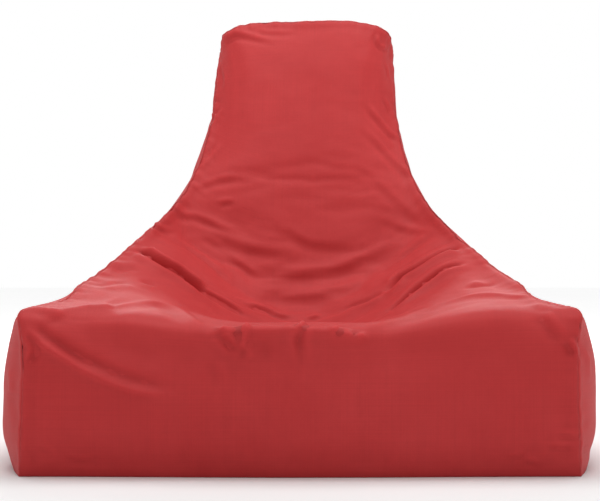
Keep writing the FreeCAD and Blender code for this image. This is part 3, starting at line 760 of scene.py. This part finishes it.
def mesh_of(name, verts, faces, loops_uv=None, floats=None):
    me = bpy.data.meshes.new(name)
    verts = np.asarray(verts, float) / 1000.0
    sizes = np.array([len(f) for f in faces], int) if not isinstance(faces, np.ndarray) else np.full(len(faces), faces.shape[1])
    flat = np.concatenate([np.asarray(f) for f in faces]) if not isinstance(faces, np.ndarray) else faces.ravel()
    me.vertices.add(len(verts))
    me.vertices.foreach_set("co", verts.astype(np.float32).ravel())
    me.loops.add(len(flat))
    me.loops.foreach_set("vertex_index", flat.astype(np.int32))
    me.polygons.add(len(sizes))
    me.polygons.foreach_set("loop_start", np.concatenate([[0], np.cumsum(sizes)[:-1]]).astype(np.int32))
    me.polygons.foreach_set("loop_total", sizes.astype(np.int32))
    me.update(calc_edges=True)
    me.validate()
    if loops_uv is not None:
        layer = me.uv_layers.new(name="cloth")
        v = np.zeros(len(me.loops), np.int32)
        me.loops.foreach_get("vertex_index", v)
        layer.data.foreach_set("uv", loops_uv[v].astype(np.float32).ravel())
    for key, values in (floats or {}).items():
        a = me.attributes.new(key, "FLOAT", "POINT")
        a.data.foreach_set("value", np.asarray(values, np.float32))
    me.polygons.foreach_set("use_smooth", np.ones(len(me.polygons), bool))
    ob = bpy.data.objects.new(name, me)
    SCENE.collection.objects.link(ob)
    return ob


def cloth_places(name):
    """Flat-cloth coordinates in metres for a panel's grid: across from the middle, and along from the first row."""
    g = GRIDS[name]
    across, down = lengths(g, 1), lengths(g, 0)
    mid = across.shape[1] // 2
    return np.stack([(across - across[:, mid:mid + 1]) / 1000.0, np.broadcast_to(down[:, mid:mid + 1], across.shape) / 1000.0], 2)


def seam_values(name):
    """Distance to the nearest seam and place along it, in metres."""
    d0, s0 = np.full(GRIDS[name].shape[:2], 1e9), np.zeros(GRIDS[name].shape[:2])
    for seam, d, s in seam_coordinates(name):
        better = d < d0
        d0, s0 = np.where(better, d, d0), np.where(better, s, s0)
    return d0 / 1000.0, s0 / 1000.0


def panel(name, label, rows, cols, inner=4, hole=None):
    """A panel as a closed thin skin: the outer face at full detail, a plain inner face, and the cut edge between them."""
    n = ids[name][::rows, ::cols]
    uv = cloth_places(name)[::rows, ::cols]
    sd, ss = (a[::rows, ::cols] for a in seam_values(name))
    h, w = n.shape
    outer = S[n.ravel()]
    inward = S[n.ravel()] - SURF_N[n.ravel()] * FABRIC
    local = np.arange(h * w).reshape(h, w)
    faces = [tuple(q) for q in quads(local)]
    keep_hole = None
    if hole is not None:
        keep = [f for f, c in zip(faces, hole(outer)) if not c]
        faces = keep
    verts = [outer]
    uvs, sds, sss = [uv.reshape(-1, 2)], [sd.ravel()], [ss.ravel()]
    if hole is not None:
        # a full inner face, joined to the outer one round the border and round the opening
        from collections import Counter
        count = Counter()
        for f in faces:
            for i in range(4):
                count[(f[i], f[(i + 1) % 4])] += 1
        m = h * w
        more = [tuple(reversed([v + m for v in f])) for f in faces]
        rim = [(b, a, a + m, b + m) for (a, b) in count if (b, a) not in count]
        verts.append(inward)
        uvs.append(uvs[0]); sds.append(sds[0]); sss.append(sss[0])
        allf = faces + more + rim
    else:
        k = inner
        ci, cj = np.arange(0, h, k), np.arange(0, w, k)
        assert ci[-1] == h - 1 and cj[-1] == w - 1, (name, h, w)
        coarse = local[np.ix_(ci, cj)]
        m = h * w
        newid = m + np.arange(coarse.size).reshape(coarse.shape)
        verts.append(inward[coarse.ravel()])
        uvs.append(uvs[0][coarse.ravel()]); sds.append(sds[0][coarse.ravel()]); sss.append(sss[0][coarse.ravel()])
        more = [tuple(reversed(q)) for q in quads(newid)]
        rim = []

        def edge(fine_ids, coarse_ids, flip):
            for c in range(len(coarse_ids) - 1):
                o = fine_ids[c * k:c * k + k + 1]
                a, b = coarse_ids[c], coarse_ids[c + 1]
                half = k // 2
                tri = [(o[i], o[i + 1], a) for i in range(half)] + [(a, o[half], b)] + [(o[i], o[i + 1], b) for i in range(half, k)]
                rim.extend([tuple(reversed(t)) for t in tri] if flip else tri)
        edge(local[0], newid[0], True)
        edge(local[-1], newid[-1], False)
        edge(local[:, 0], newid[:, 0], False)
        edge(local[:, -1], newid[:, -1], True)
        allf = faces + more + rim
    ob = mesh_of(label, np.concatenate(verts), allf, np.concatenate(uvs), {"seam_d": np.concatenate(sds), "seam_s": np.concatenate(sss)})
    bm = bmesh.new()
    bm.from_mesh(ob.data)
    loose = [v for v in bm.verts if not v.link_faces]
    bmesh.ops.delete(bm, geom=loose, context="VERTS")
    bmesh.ops.recalc_face_normals(bm, faces=bm.faces)
    bm.to_mesh(ob.data)
    bm.free()
    return ob


def zip_hole(outer):
    return []


# ------------------------------------------------------------------------------------ materials
class Nodes:
    """Small helper over a material's node tree."""

    def __init__(self, name):
        self.mat = bpy.data.materials.new(name)
        self.mat.use_nodes = True
        self.tree = self.mat.node_tree
        self.shader = next(n for n in self.tree.nodes if n.type == "BSDF_PRINCIPLED")

    def node(self, kind, **values):
        n = self.tree.nodes.new(kind)
        for k, v in values.items():
            setattr(n, k, v)
        return n

    def link(self, a, b):
        self.tree.links.new(a, b)

    def put(self, socket, value):
        if isinstance(value, bpy.types.NodeSocket):
            self.link(value, socket)
        else:
            socket.default_value = value

    def math(self, op, a, b=0.5, c=0.5, clamp=False):
        n = self.node("ShaderNodeMath", operation=op, use_clamp=clamp)
        self.put(n.inputs[0], a)
        self.put(n.inputs[1], b)
        self.put(n.inputs[2], c)
        return n.outputs[0]

    def noise(self, vector, scale, detail=2.0, rough=0.5):
        n = self.node("ShaderNodeTexNoise")
        self.put(n.inputs["Vector"], vector)
        n.inputs["Scale"].default_value = scale
        n.inputs["Detail"].default_value = detail
        n.inputs["Roughness"].default_value = rough
        return n.outputs[0]

    def mapping(self, vector, scale, rotation=(0, 0, 0)):
        n = self.node("ShaderNodeMapping")
        self.put(n.inputs["Vector"], vector)
        n.inputs["Scale"].default_value = scale
        n.inputs["Rotation"].default_value = rotation
        return n.outputs[0]

    def ramp(self, value, stops):
        n = self.node("ShaderNodeValToRGB")
        self.put(n.inputs[0], value)
        r = n.color_ramp
        while len(r.elements) < len(stops):
            r.elements.new(0.5)
        for e, (at, colour) in zip(r.elements, stops):
            e.position, e.color = at, (*colour, 1.0)
        return n.outputs[0]

    def mix(self, share, a, b, kind="MIX"):
        n = self.node("ShaderNodeMix", data_type="RGBA", blend_type=kind)
        self.put(n.inputs[0], share)
        self.put(n.inputs[6], a)
        self.put(n.inputs[7], b)
        return n.outputs[2]

    def attribute(self, name):
        return self.node("ShaderNodeAttribute", attribute_name=name).outputs["Fac"]


def cover_cloth(name="cover_cloth", pitch=0.00085, tone=1.0, stitches=True):
    """Coated plain-weave polyester: crossing yarns that vary in thickness, a slight sheen, colour a little paler on
    raised folds and painted shade in hollows and creases, and a row of stitches in the bottom of each seam, with
    painted shade towards each seam."""
    m = Nodes(name)
    uv = m.node("ShaderNodeUVMap", uv_map="cloth").outputs[0]
    sep = m.node("ShaderNodeSeparateXYZ")
    m.link(uv, sep.inputs[0])
    u, v = sep.outputs[0], sep.outputs[1]
    # yarns wander a little, so the weave isn't ruled
    wob = m.noise(uv, 38.0, 2.0)
    u2 = m.math("ADD", u, m.math("MULTIPLY", m.math("SUBTRACT", wob, 0.5), 0.0016))
    v2 = m.math("ADD", v, m.math("MULTIPLY", m.math("SUBTRACT", m.noise(uv, 31.0, 2.0), 0.5), 0.0016))
    k = 2 * math.pi / (2 * pitch)
    su, sv = m.math("SINE", m.math("MULTIPLY", u2, k)), m.math("SINE", m.math("MULTIPLY", v2, k))
    au, av = m.math("ABSOLUTE", su), m.math("ABSOLUTE", sv)
    over = m.math("MULTIPLY", su, sv)                              # which yarn lies on top
    sel = m.math("GREATER_THAN", over, 0.0)
    warp = m.math("MULTIPLY", m.math("POWER", au, 0.6), m.math("ADD", 0.55, m.math("MULTIPLY", av, 0.45)))
    weft = m.math("MULTIPLY", m.math("POWER", av, 0.6), m.math("ADD", 0.55, m.math("MULTIPLY", au, 0.45)))
    weave = m.math("ADD", m.math("MULTIPLY", warp, sel), m.math("MULTIPLY", weft, m.math("SUBTRACT", 1.0, sel)))
    # thick and thin yarns show as faint bars along and across the cloth
    bars = m.noise(m.mapping(uv, (900.0, 5.0, 1.0)), 1.0, 3.0, 0.6)
    bars2 = m.noise(m.mapping(uv, (4.0, 700.0, 1.0)), 1.0, 3.0, 0.6)
    bar = m.math("ADD", m.math("SUBTRACT", bars, 0.5), m.math("SUBTRACT", bars2, 0.5))
    place = m.node("ShaderNodeTexCoord").outputs["Object"]
    cloud = m.noise(place, 5.5, 4.0, 0.55)
    fleck = m.noise(place, 90.0, 3.0, 0.6)
    # colour
    deep, usual, light = (0.420 * tone, 0.0250 * tone, 0.0260 * tone), (0.480 * tone, 0.0310 * tone, 0.0320 * tone), (0.540 * tone, 0.0440 * tone, 0.0450 * tone)
    col = m.ramp(m.math("ADD", m.math("MULTIPLY", cloud, 0.55), m.math("MULTIPLY", weave, 0.45)), [(0.25, deep), (0.52, usual), (0.80, light)])
    amount = m.math("ADD", 1.0, m.math("ADD", m.math("MULTIPLY", bar, 0.20), m.math("MULTIPLY", m.math("SUBTRACT", fleck, 0.5), 0.07)))
    # colour follows the curvature: a little paler on raised places, and darker in hollows and creases, which is painted
    # shade
    geo = m.node("ShaderNodeNewGeometry")
    point = m.math("SUBTRACT", geo.outputs["Pointiness"], 0.5)
    # painted shade in hollows and creases (down to -0.22), and a slightly paler tone on raised places (up to +0.12)
    worn = m.math("MULTIPLY", point, 2.2)
    amount = m.math("ADD", amount, m.math("MAXIMUM", m.math("MINIMUM", worn, 0.12), -0.22))
    scale = m.node("ShaderNodeVectorMath", operation="SCALE")
    m.link(col, scale.inputs[0])
    m.link(amount, scale.inputs["Scale"])
    colour = scale.outputs[0]
    height_value = m.math("ADD", m.math("MULTIPLY", weave, 0.55), m.math("MULTIPLY", bar, 0.35))
    if stitches:
        sd, ss = m.attribute("seam_d"), m.attribute("seam_s")
        beat = m.math("SINE", m.math("MULTIPLY", ss, 2 * math.pi / 0.0032))
        thread = m.math("MULTIPLY", m.math("GREATER_THAN", beat, -0.35), m.math("LESS_THAN", sd, 0.0007))
        # painted shade: the cloth darkens towards the bottom of each seam's groove, by up to 0.42
        painted_seam_shade = m.math("SUBTRACT", 1.0, m.math("MULTIPLY", m.math("SMOOTH_MIN", 1.0, m.math("DIVIDE", 0.0009, m.math("ADD", sd, 0.0009)), 0.1), 0.42))
        scale2 = m.node("ShaderNodeVectorMath", operation="SCALE")
        m.link(colour, scale2.inputs[0])
        m.link(painted_seam_shade, scale2.inputs["Scale"])
        colour = m.mix(thread, scale2.outputs[0], (0.50, 0.06, 0.06, 1.0))
        height_value = m.math("ADD", height_value, m.math("MULTIPLY", thread, 1.6))
    bump = m.node("ShaderNodeBump")
    bump.inputs["Strength"].default_value = 0.30
    bump.inputs["Distance"].default_value = 0.00035
    m.link(height_value, bump.inputs["Height"])
    grain = m.node("ShaderNodeBump")
    grain.inputs["Strength"].default_value = 0.10
    grain.inputs["Distance"].default_value = 0.002
    m.link(m.noise(place, 210.0, 3.0, 0.55), grain.inputs["Height"])
    m.link(bump.outputs[0], grain.inputs["Normal"])
    s = m.shader.inputs
    m.link(colour, s["Base Color"])
    m.link(grain.outputs[0], s["Normal"])
    rough = m.math("ADD", 0.66, m.math("MULTIPLY", m.math("SUBTRACT", m.noise(place, 14.0, 3.0), 0.5), 0.16), clamp=True)
    m.link(m.math("SUBTRACT", rough, m.math("MULTIPLY", weave, 0.05)), s["Roughness"])
    s["IOR"].default_value = 1.45
    s["Specular IOR Level"].default_value = 0.22
    s["Sheen Weight"].default_value = 0.05
    s["Sheen Roughness"].default_value = 0.32
    s["Sheen Tint"].default_value = (1.0, 0.5, 0.5, 1.0)
    return m.mat


def bead_foam():
    """White expanded polystyrene beads packed against each other, with painted shade in the gaps where they meet."""
    m = Nodes("bead_foam")
    place = m.node("ShaderNodeTexCoord").outputs["Object"]
    cell = m.node("ShaderNodeTexVoronoi", feature="F1")
    m.link(place, cell.inputs["Vector"])
    cell.inputs["Scale"].default_value = 240.0
    d = cell.outputs["Distance"]
    # painted shade: each bead darkens towards its rim, in the gaps between beads
    col = m.ramp(d, [(0.0, (0.93, 0.93, 0.91)), (0.55, (0.86, 0.86, 0.84)), (0.85, (0.52, 0.52, 0.51))])
    tint = m.mix(0.06, col, cell.outputs["Color"])
    bump = m.node("ShaderNodeBump", invert=True)
    bump.inputs["Strength"].default_value = 0.8
    bump.inputs["Distance"].default_value = 0.002
    m.link(d, bump.inputs["Height"])
    s = m.shader.inputs
    m.link(tint, s["Base Color"])
    m.link(bump.outputs[0], s["Normal"])
    m.link(m.math("ADD", 0.5, m.math("MULTIPLY", d, 0.3)), s["Roughness"])
    s["Subsurface Weight"].default_value = 0.15
    s["Subsurface Scale"].default_value = 0.004
    return m.mat


def zip_tape_cloth():
    """Herringbone woven tape."""
    m = Nodes("zip_tape_cloth")
    place = m.node("ShaderNodeTexCoord").outputs["Object"]
    sep = m.node("ShaderNodeSeparateXYZ")
    m.link(place, sep.inputs[0])
    x, z = sep.outputs[0], sep.outputs[2]
    zig = m.math("PINGPONG", z, 0.0016)
    line = m.math("SINE", m.math("MULTIPLY", m.math("ADD", x, m.math("MULTIPLY", zig, 1.0)), 2 * math.pi / 0.00085))
    cross = m.math("SINE", m.math("MULTIPLY", z, 2 * math.pi / 0.0005))
    hgt = m.math("ADD", m.math("MULTIPLY", line, 0.6), m.math("MULTIPLY", cross, 0.2))
    col = m.ramp(m.math("ADD", m.math("MULTIPLY", hgt, 0.3), m.noise(place, 160.0, 3.0)), [(0.3, (0.27, 0.016, 0.018)), (0.6, (0.36, 0.028, 0.03)), (0.9, (0.44, 0.05, 0.052))])
    bump = m.node("ShaderNodeBump")
    bump.inputs["Strength"].default_value = 0.5
    bump.inputs["Distance"].default_value = 0.0003
    m.link(hgt, bump.inputs["Height"])
    s = m.shader.inputs
    m.link(col, s["Base Color"])
    m.link(bump.outputs[0], s["Normal"])
    m.link(m.math("ADD", 0.68, m.math("MULTIPLY", hgt, 0.06)), s["Roughness"])
    s["Sheen Weight"].default_value = 0.3
    return m.mat


def nylon():
    """Dyed nylon coil, semi-gloss."""
    m = Nodes("nylon_coil")
    place = m.node("ShaderNodeTexCoord").outputs["Object"]
    n = m.noise(place, 420.0, 3.0)
    col = m.ramp(n, [(0.3, (0.26, 0.014, 0.016)), (0.6, (0.35, 0.026, 0.028)), (0.85, (0.42, 0.045, 0.045))])
    bump = m.node("ShaderNodeBump")
    bump.inputs["Strength"].default_value = 0.2
    bump.inputs["Distance"].default_value = 0.0001
    m.link(n, bump.inputs["Height"])
    s = m.shader.inputs
    m.link(col, s["Base Color"])
    m.link(bump.outputs[0], s["Normal"])
    m.link(m.math("ADD", 0.26, m.math("MULTIPLY", n, 0.14)), s["Roughness"])
    return m.mat


def enamel():
    """Red enamel over die-cast zinc, rubbed through to the metal on its edges."""
    m = Nodes("enamelled_metal")
    place = m.node("ShaderNodeTexCoord").outputs["Object"]
    geo = m.node("ShaderNodeNewGeometry")
    n = m.noise(place, 700.0, 4.0)
    edge = m.math("ADD", m.math("MULTIPLY", m.math("SUBTRACT", geo.outputs["Pointiness"], 0.52), 14.0), m.math("MULTIPLY", m.math("SUBTRACT", n, 0.5), 1.1), clamp=True)
    worn = m.math("MULTIPLY", edge, 0.75)
    paint = m.ramp(n, [(0.3, (0.27, 0.014, 0.016)), (0.7, (0.36, 0.026, 0.028))])
    col = m.mix(worn, paint, (0.62, 0.60, 0.57, 1.0))
    bump = m.node("ShaderNodeBump")
    bump.inputs["Strength"].default_value = 0.25
    bump.inputs["Distance"].default_value = 0.0001
    m.link(n, bump.inputs["Height"])
    s = m.shader.inputs
    m.link(col, s["Base Color"])
    m.link(worn, s["Metallic"])
    m.link(m.math("ADD", 0.24, m.math("MULTIPLY", n, 0.16)), s["Roughness"])
    m.link(bump.outputs[0], s["Normal"])
    s["Coat Weight"].default_value = 0.3
    s["Coat Roughness"].default_value = 0.12
    return m.mat


def floor_paint_and_glow():
    m = Nodes("floor_paint_and_glow")
    place = m.node("ShaderNodeTexCoord").outputs["Object"]
    n = m.noise(place, 2.0, 3.0)
    m.link(m.ramp(n, [(0.3, (0.84, 0.84, 0.84)), (0.7, (0.87, 0.87, 0.87))]), m.shader.inputs["Base Color"])
    m.shader.inputs["Roughness"].default_value = 0.75
    m.shader.inputs["Specular IOR Level"].default_value = 0.1
    # painted light: the floor glows, not at all within 0.7 m of the chair and up to a strength of 0.6 further off
    m.shader.inputs["Emission Color"].default_value = (1.0, 1.0, 1.0, 1.0)
    sep = m.node("ShaderNodeSeparateXYZ")
    m.link(place, sep.inputs[0])
    away = m.math("SQRT", m.math("ADD", m.math("POWER", sep.outputs[0], 2.0), m.math("POWER", sep.outputs[1], 2.0)))
    far_glow = m.math("MULTIPLY", m.math("SUBTRACT", away, 0.7), 0.22, clamp=True)
    m.link(m.math("MINIMUM", far_glow, 0.60), m.shader.inputs["Emission Strength"])
    return m.mat


CLOTH = cover_cloth()


def dress(ob, mat):
    ob.data.materials.clear()
    ob.data.materials.append(mat)
    return ob


WORLD_LIGHT = 0.40
LAMPS = [
    ("top", (0.0, 0.3, 3.2), (0.0, 0.0, 0.3), (2.6, 1.8), 60.0),
    ("front", (0.0, -2.6, 3.2), (0.0, 0.0, 0.3), (3.0, 1.2), 30.0),
    ("rim", (0.0, 3.1, 2.0), (0.0, 0.0, 0.35), (2.4, 0.8), 48.0),
    ("left", (-2.6, -0.3, 1.2), (0.0, -0.2, 0.35), (1.2, 1.4), 7.0),
    ("right", (2.6, -0.3, 1.2), (0.0, -0.2, 0.35), (1.2, 1.4), 11.0),
]


# ------------------------------------------------------------------------------------ the six panels
def area(name):
    a, b, c, d = (P[quads(ids[name])[:, i]] for i in range(4))
    return float(np.linalg.norm(np.cross(c - a, d - b), axis=1).sum()) / 2e6


FRONT = panel("front", "front_seat_back_cover", 1, 1)
LEFT = panel("left", "left_side_cover", 1, 2)
RIGHT = panel("right", "right_side_cover", 1, 2)
HEAD = panel("head", "head_cover", 2, 2)
BASE = panel("base", "base_cover", 2, 2)
REAR_NAME = "rear"


def zip_opening(outer):
    """Which of the rear panel's quads lie in the zip's opening."""
    lo, hi, a, b = SLOT_ROWS
    h, w = ids["rear"].shape[0] - 1, (ids["rear"].shape[1] - 1) // 2
    r, c = np.meshgrid(np.arange(h), np.arange(w), indexing="ij")
    return ((r >= lo) & (r < hi) & (c >= a // 2) & (c < b // 2)).ravel()


REARP = panel("rear", "rear_cover", 1, 2, hole=zip_opening)

COVERS = [(FRONT, "front", "front_seat_back_panel"), (LEFT, "left", "left_side_panel"), (RIGHT, "right", "right_side_panel"),
          (HEAD, "head", "head_panel"), (REARP, "rear", "rear_panel"), (BASE, "base", "base_panel")]
for ob, name, node in COVERS:
    dress(ob, CLOTH)
    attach(ob, "chair")
    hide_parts(node)
    w = float(lengths(GRIDS[name], 1)[:, -1].max()) / 1000
    l = float(lengths(GRIDS[name], 0)[-1].max()) / 1000
    flat = area(name) * 1.03
    w, l = round(w * 1.015, 3), round(l * 1.015, 3)
    flat = max(flat, 0.31 * w * l)
    print("sheet", name, w, l, round(flat, 4))

# ------------------------------------------------------------------------------------ the bead filling, just inside the cover
calm = relax(P, 2) - normals(relax(P, 8)) * 11.0 + BASE_N * relax(np.minimum(height, 0.0), 4)[:, None]
calm[:, 2] = np.maximum(calm[:, 2], 3.0)
pocket = (np.abs(calm[:, 0]) < 300) & (np.abs(calm[:, 2] - ZIP_Z) < 22) & (calm[:, 1] > 400)
calm[pocket, 1] = np.minimum(calm[pocket, 1], 444.0)
fill_faces = np.concatenate([quads(ids[name][::4, ::4]) for name in ids])
used, back = np.unique(fill_faces, return_inverse=True)
FILL = mesh_of("bead_filling_mass", calm[used], back.reshape(-1, 4))
dress(FILL, bead_foam())
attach(FILL, "chair")
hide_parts("bead_filling")


# ------------------------------------------------------------------------------------ the zip
def tube(path, radius, sides=6):
    """Vertices and faces of a closed tube along the path, with its ends capped."""
    t = np.gradient(path, axis=0)
    t /= np.linalg.norm(t, axis=1, keepdims=True)
    ref = np.array([1.0, 0.0, 0.0])
    a = ref - t * (t @ ref)[:, None]
    a /= np.maximum(np.linalg.norm(a, axis=1, keepdims=True), 1e-9)
    b = np.cross(t, a)
    ang = np.arange(sides) * 2 * math.pi / sides
    v = path[:, None, :] + radius * (a[:, None, :] * np.cos(ang)[None, :, None] + b[:, None, :] * np.sin(ang)[None, :, None])
    n = len(path)
    i = np.arange(n * sides).reshape(n, sides)
    j = np.roll(i, -1, axis=1)
    f = np.stack([i[:-1], j[:-1], j[1:], i[1:]], -1).reshape(-1, 4)
    faces = [tuple(q) for q in f] + [tuple(i[0][::-1]), tuple(i[-1])]
    return v.reshape(-1, 3), faces


def tidy(ob):
    bm = bmesh.new()
    bm.from_mesh(ob.data)
    bmesh.ops.recalc_face_normals(bm, faces=bm.faces)
    bm.to_mesh(ob.data)
    bm.free()
    return ob


TAPE_Y0, TAPE_Y1 = 449.76, 450.42


def zip_tape(label, sign):
    """A woven tape: ribbed along its length, with a slight wander at its free edge."""
    nx, nz = 420, 16
    x = np.linspace(-294, 294, nx + 1)
    q = np.linspace(0, 1, nz + 1)
    X, Q = np.meshgrid(x, q)
    wander = 0.14 * np.sin(x / 37.0 + sign) + 0.08 * np.sin(x / 11.0)
    Z = ZIP_Z + sign * (0.75 + (14.75 + wander[None, :]) * Q)
    rib = 0.035 * np.cos(Q * 14.8 * 2 * math.pi / 1.85) + 0.02 * np.sin(X / 5.3 + Q * 4)
    front = np.stack([X, TAPE_Y1 - 0.06 + rib, Z], 2)
    back = np.stack([X, TAPE_Y0 + 0.03 + 0.5 * rib, Z], 2)
    n = X.size
    i = np.arange(n).reshape(X.shape)
    f = [tuple(a) for a in quads(i)] + [tuple(a[::-1] + n) for a in quads(i)]
    ring = list(i[0]) + list(i[1:, -1]) + list(i[-1, -2::-1]) + list(i[-2:0:-1, 0])
    f += [(ring[k], ring[(k + 1) % len(ring)], ring[(k + 1) % len(ring)] + n, ring[k] + n) for k in range(len(ring))]
    return tidy(mesh_of(label, np.concatenate([front.reshape(-1, 3), back.reshape(-1, 3)]), f))


def zip_coil(label, sign):
    """A monofilament wound in flattened loops along the tape's inner edge. The two sides' loops lie half a pitch apart."""
    pitch, per = 1.4, 12
    x0, x1 = -279.5 + (0.0 if sign > 0 else 0.7), 279.5 - (0.7 if sign > 0 else 0.0)
    turns = int((x1 - x0) / pitch)
    a = np.arange(turns * per + 1) * 2 * math.pi / per
    c, s = np.cos(a), np.sin(a)
    x = x0 + pitch * a / (2 * math.pi)
    z = ZIP_Z + sign * (1.74 - 0.93 * np.sign(c) * np.abs(c) ** 0.8)
    y = 451.66 + 0.86 * np.sign(s) * np.abs(s) ** 0.8
    v, f = tube(np.stack([x, y, z], 1), 0.31)
    return tidy(mesh_of(label, v, f))


TAPE_CLOTH, NYLON, ENAMEL = zip_tape_cloth(), nylon(), enamel()
for side, sign in (("upper", 1), ("lower", -1)):
    tape = dress(zip_tape("zip_tape_%s_woven" % side, sign), TAPE_CLOTH)
    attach(tape, "chair")
    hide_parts("zip_tape_%s" % side)
    coil = dress(zip_coil("zip_coil_%s_wound" % side, sign), NYLON)
    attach(coil, "chair")
    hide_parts("zip_coil_%s" % side)
for n in ("zip_stop_left", "zip_stop_right", "zip_slider"):
    dress(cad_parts[n], ENAMEL)

# ------------------------------------------------------------------------------------ floor and light
def sheet_of(name, rows, mat, half=9.0):
    me = bpy.data.meshes.new(name)
    bm = bmesh.new()
    vs = [[bm.verts.new((x, y, z - 0.0004)) for x in np.linspace(-half, half, 13)] for y, z in rows]
    for a, b in zip(vs[:-1], vs[1:]):
        for i in range(12):
            bm.faces.new((a[i], a[i + 1], b[i + 1], b[i]))
    for f in bm.faces:
        f.smooth = True
    bm.to_mesh(me)
    bm.free()
    ob = bpy.data.objects.new(name, me)
    SCENE.collection.objects.link(ob)
    me.materials.append(mat)
    return ob


sheet_of("floor", [(-9.0, 0.0), (-4.0, 0.0), (0.0, 0.0), (4.0, 0.0), (9.0, 0.0)], floor_paint_and_glow())

world = bpy.data.worlds.new("studio")
SCENE.world = world
world.use_nodes = True
wt = world.node_tree
bg = wt.nodes["Background"]
bg.inputs[0].default_value = (1.0, 1.0, 1.0, 1.0)
# a white studio: the surround behind the chair is white, and lights it more softly than it looks
ray = wt.nodes.new("ShaderNodeLightPath")
seen = wt.nodes.new("ShaderNodeMapRange")
seen.inputs["To Min"].default_value = WORLD_LIGHT
seen.inputs["To Max"].default_value = 1.0
wt.links.new(ray.outputs["Is Camera Ray"], seen.inputs["Value"])
wt.links.new(seen.outputs[0], bg.inputs[1])


def lamp(name, place, aim, size, watts, tint=(1, 1, 1)):
    d = bpy.data.lights.new(name, "AREA")
    d.shape, d.size, d.size_y, d.energy, d.color = "RECTANGLE", size[0], size[1], watts, tint
    o = bpy.data.objects.new(name, d)
    SCENE.collection.objects.link(o)
    o.location = place
    o.rotation_euler = (Vector(aim) - Vector(place)).to_track_quat("-Z", "Y").to_euler()
    return o


for args in LAMPS:
    lamp(*args)

SCENE.view_settings.view_transform = "Standard"
SCENE.view_settings.look = "None"
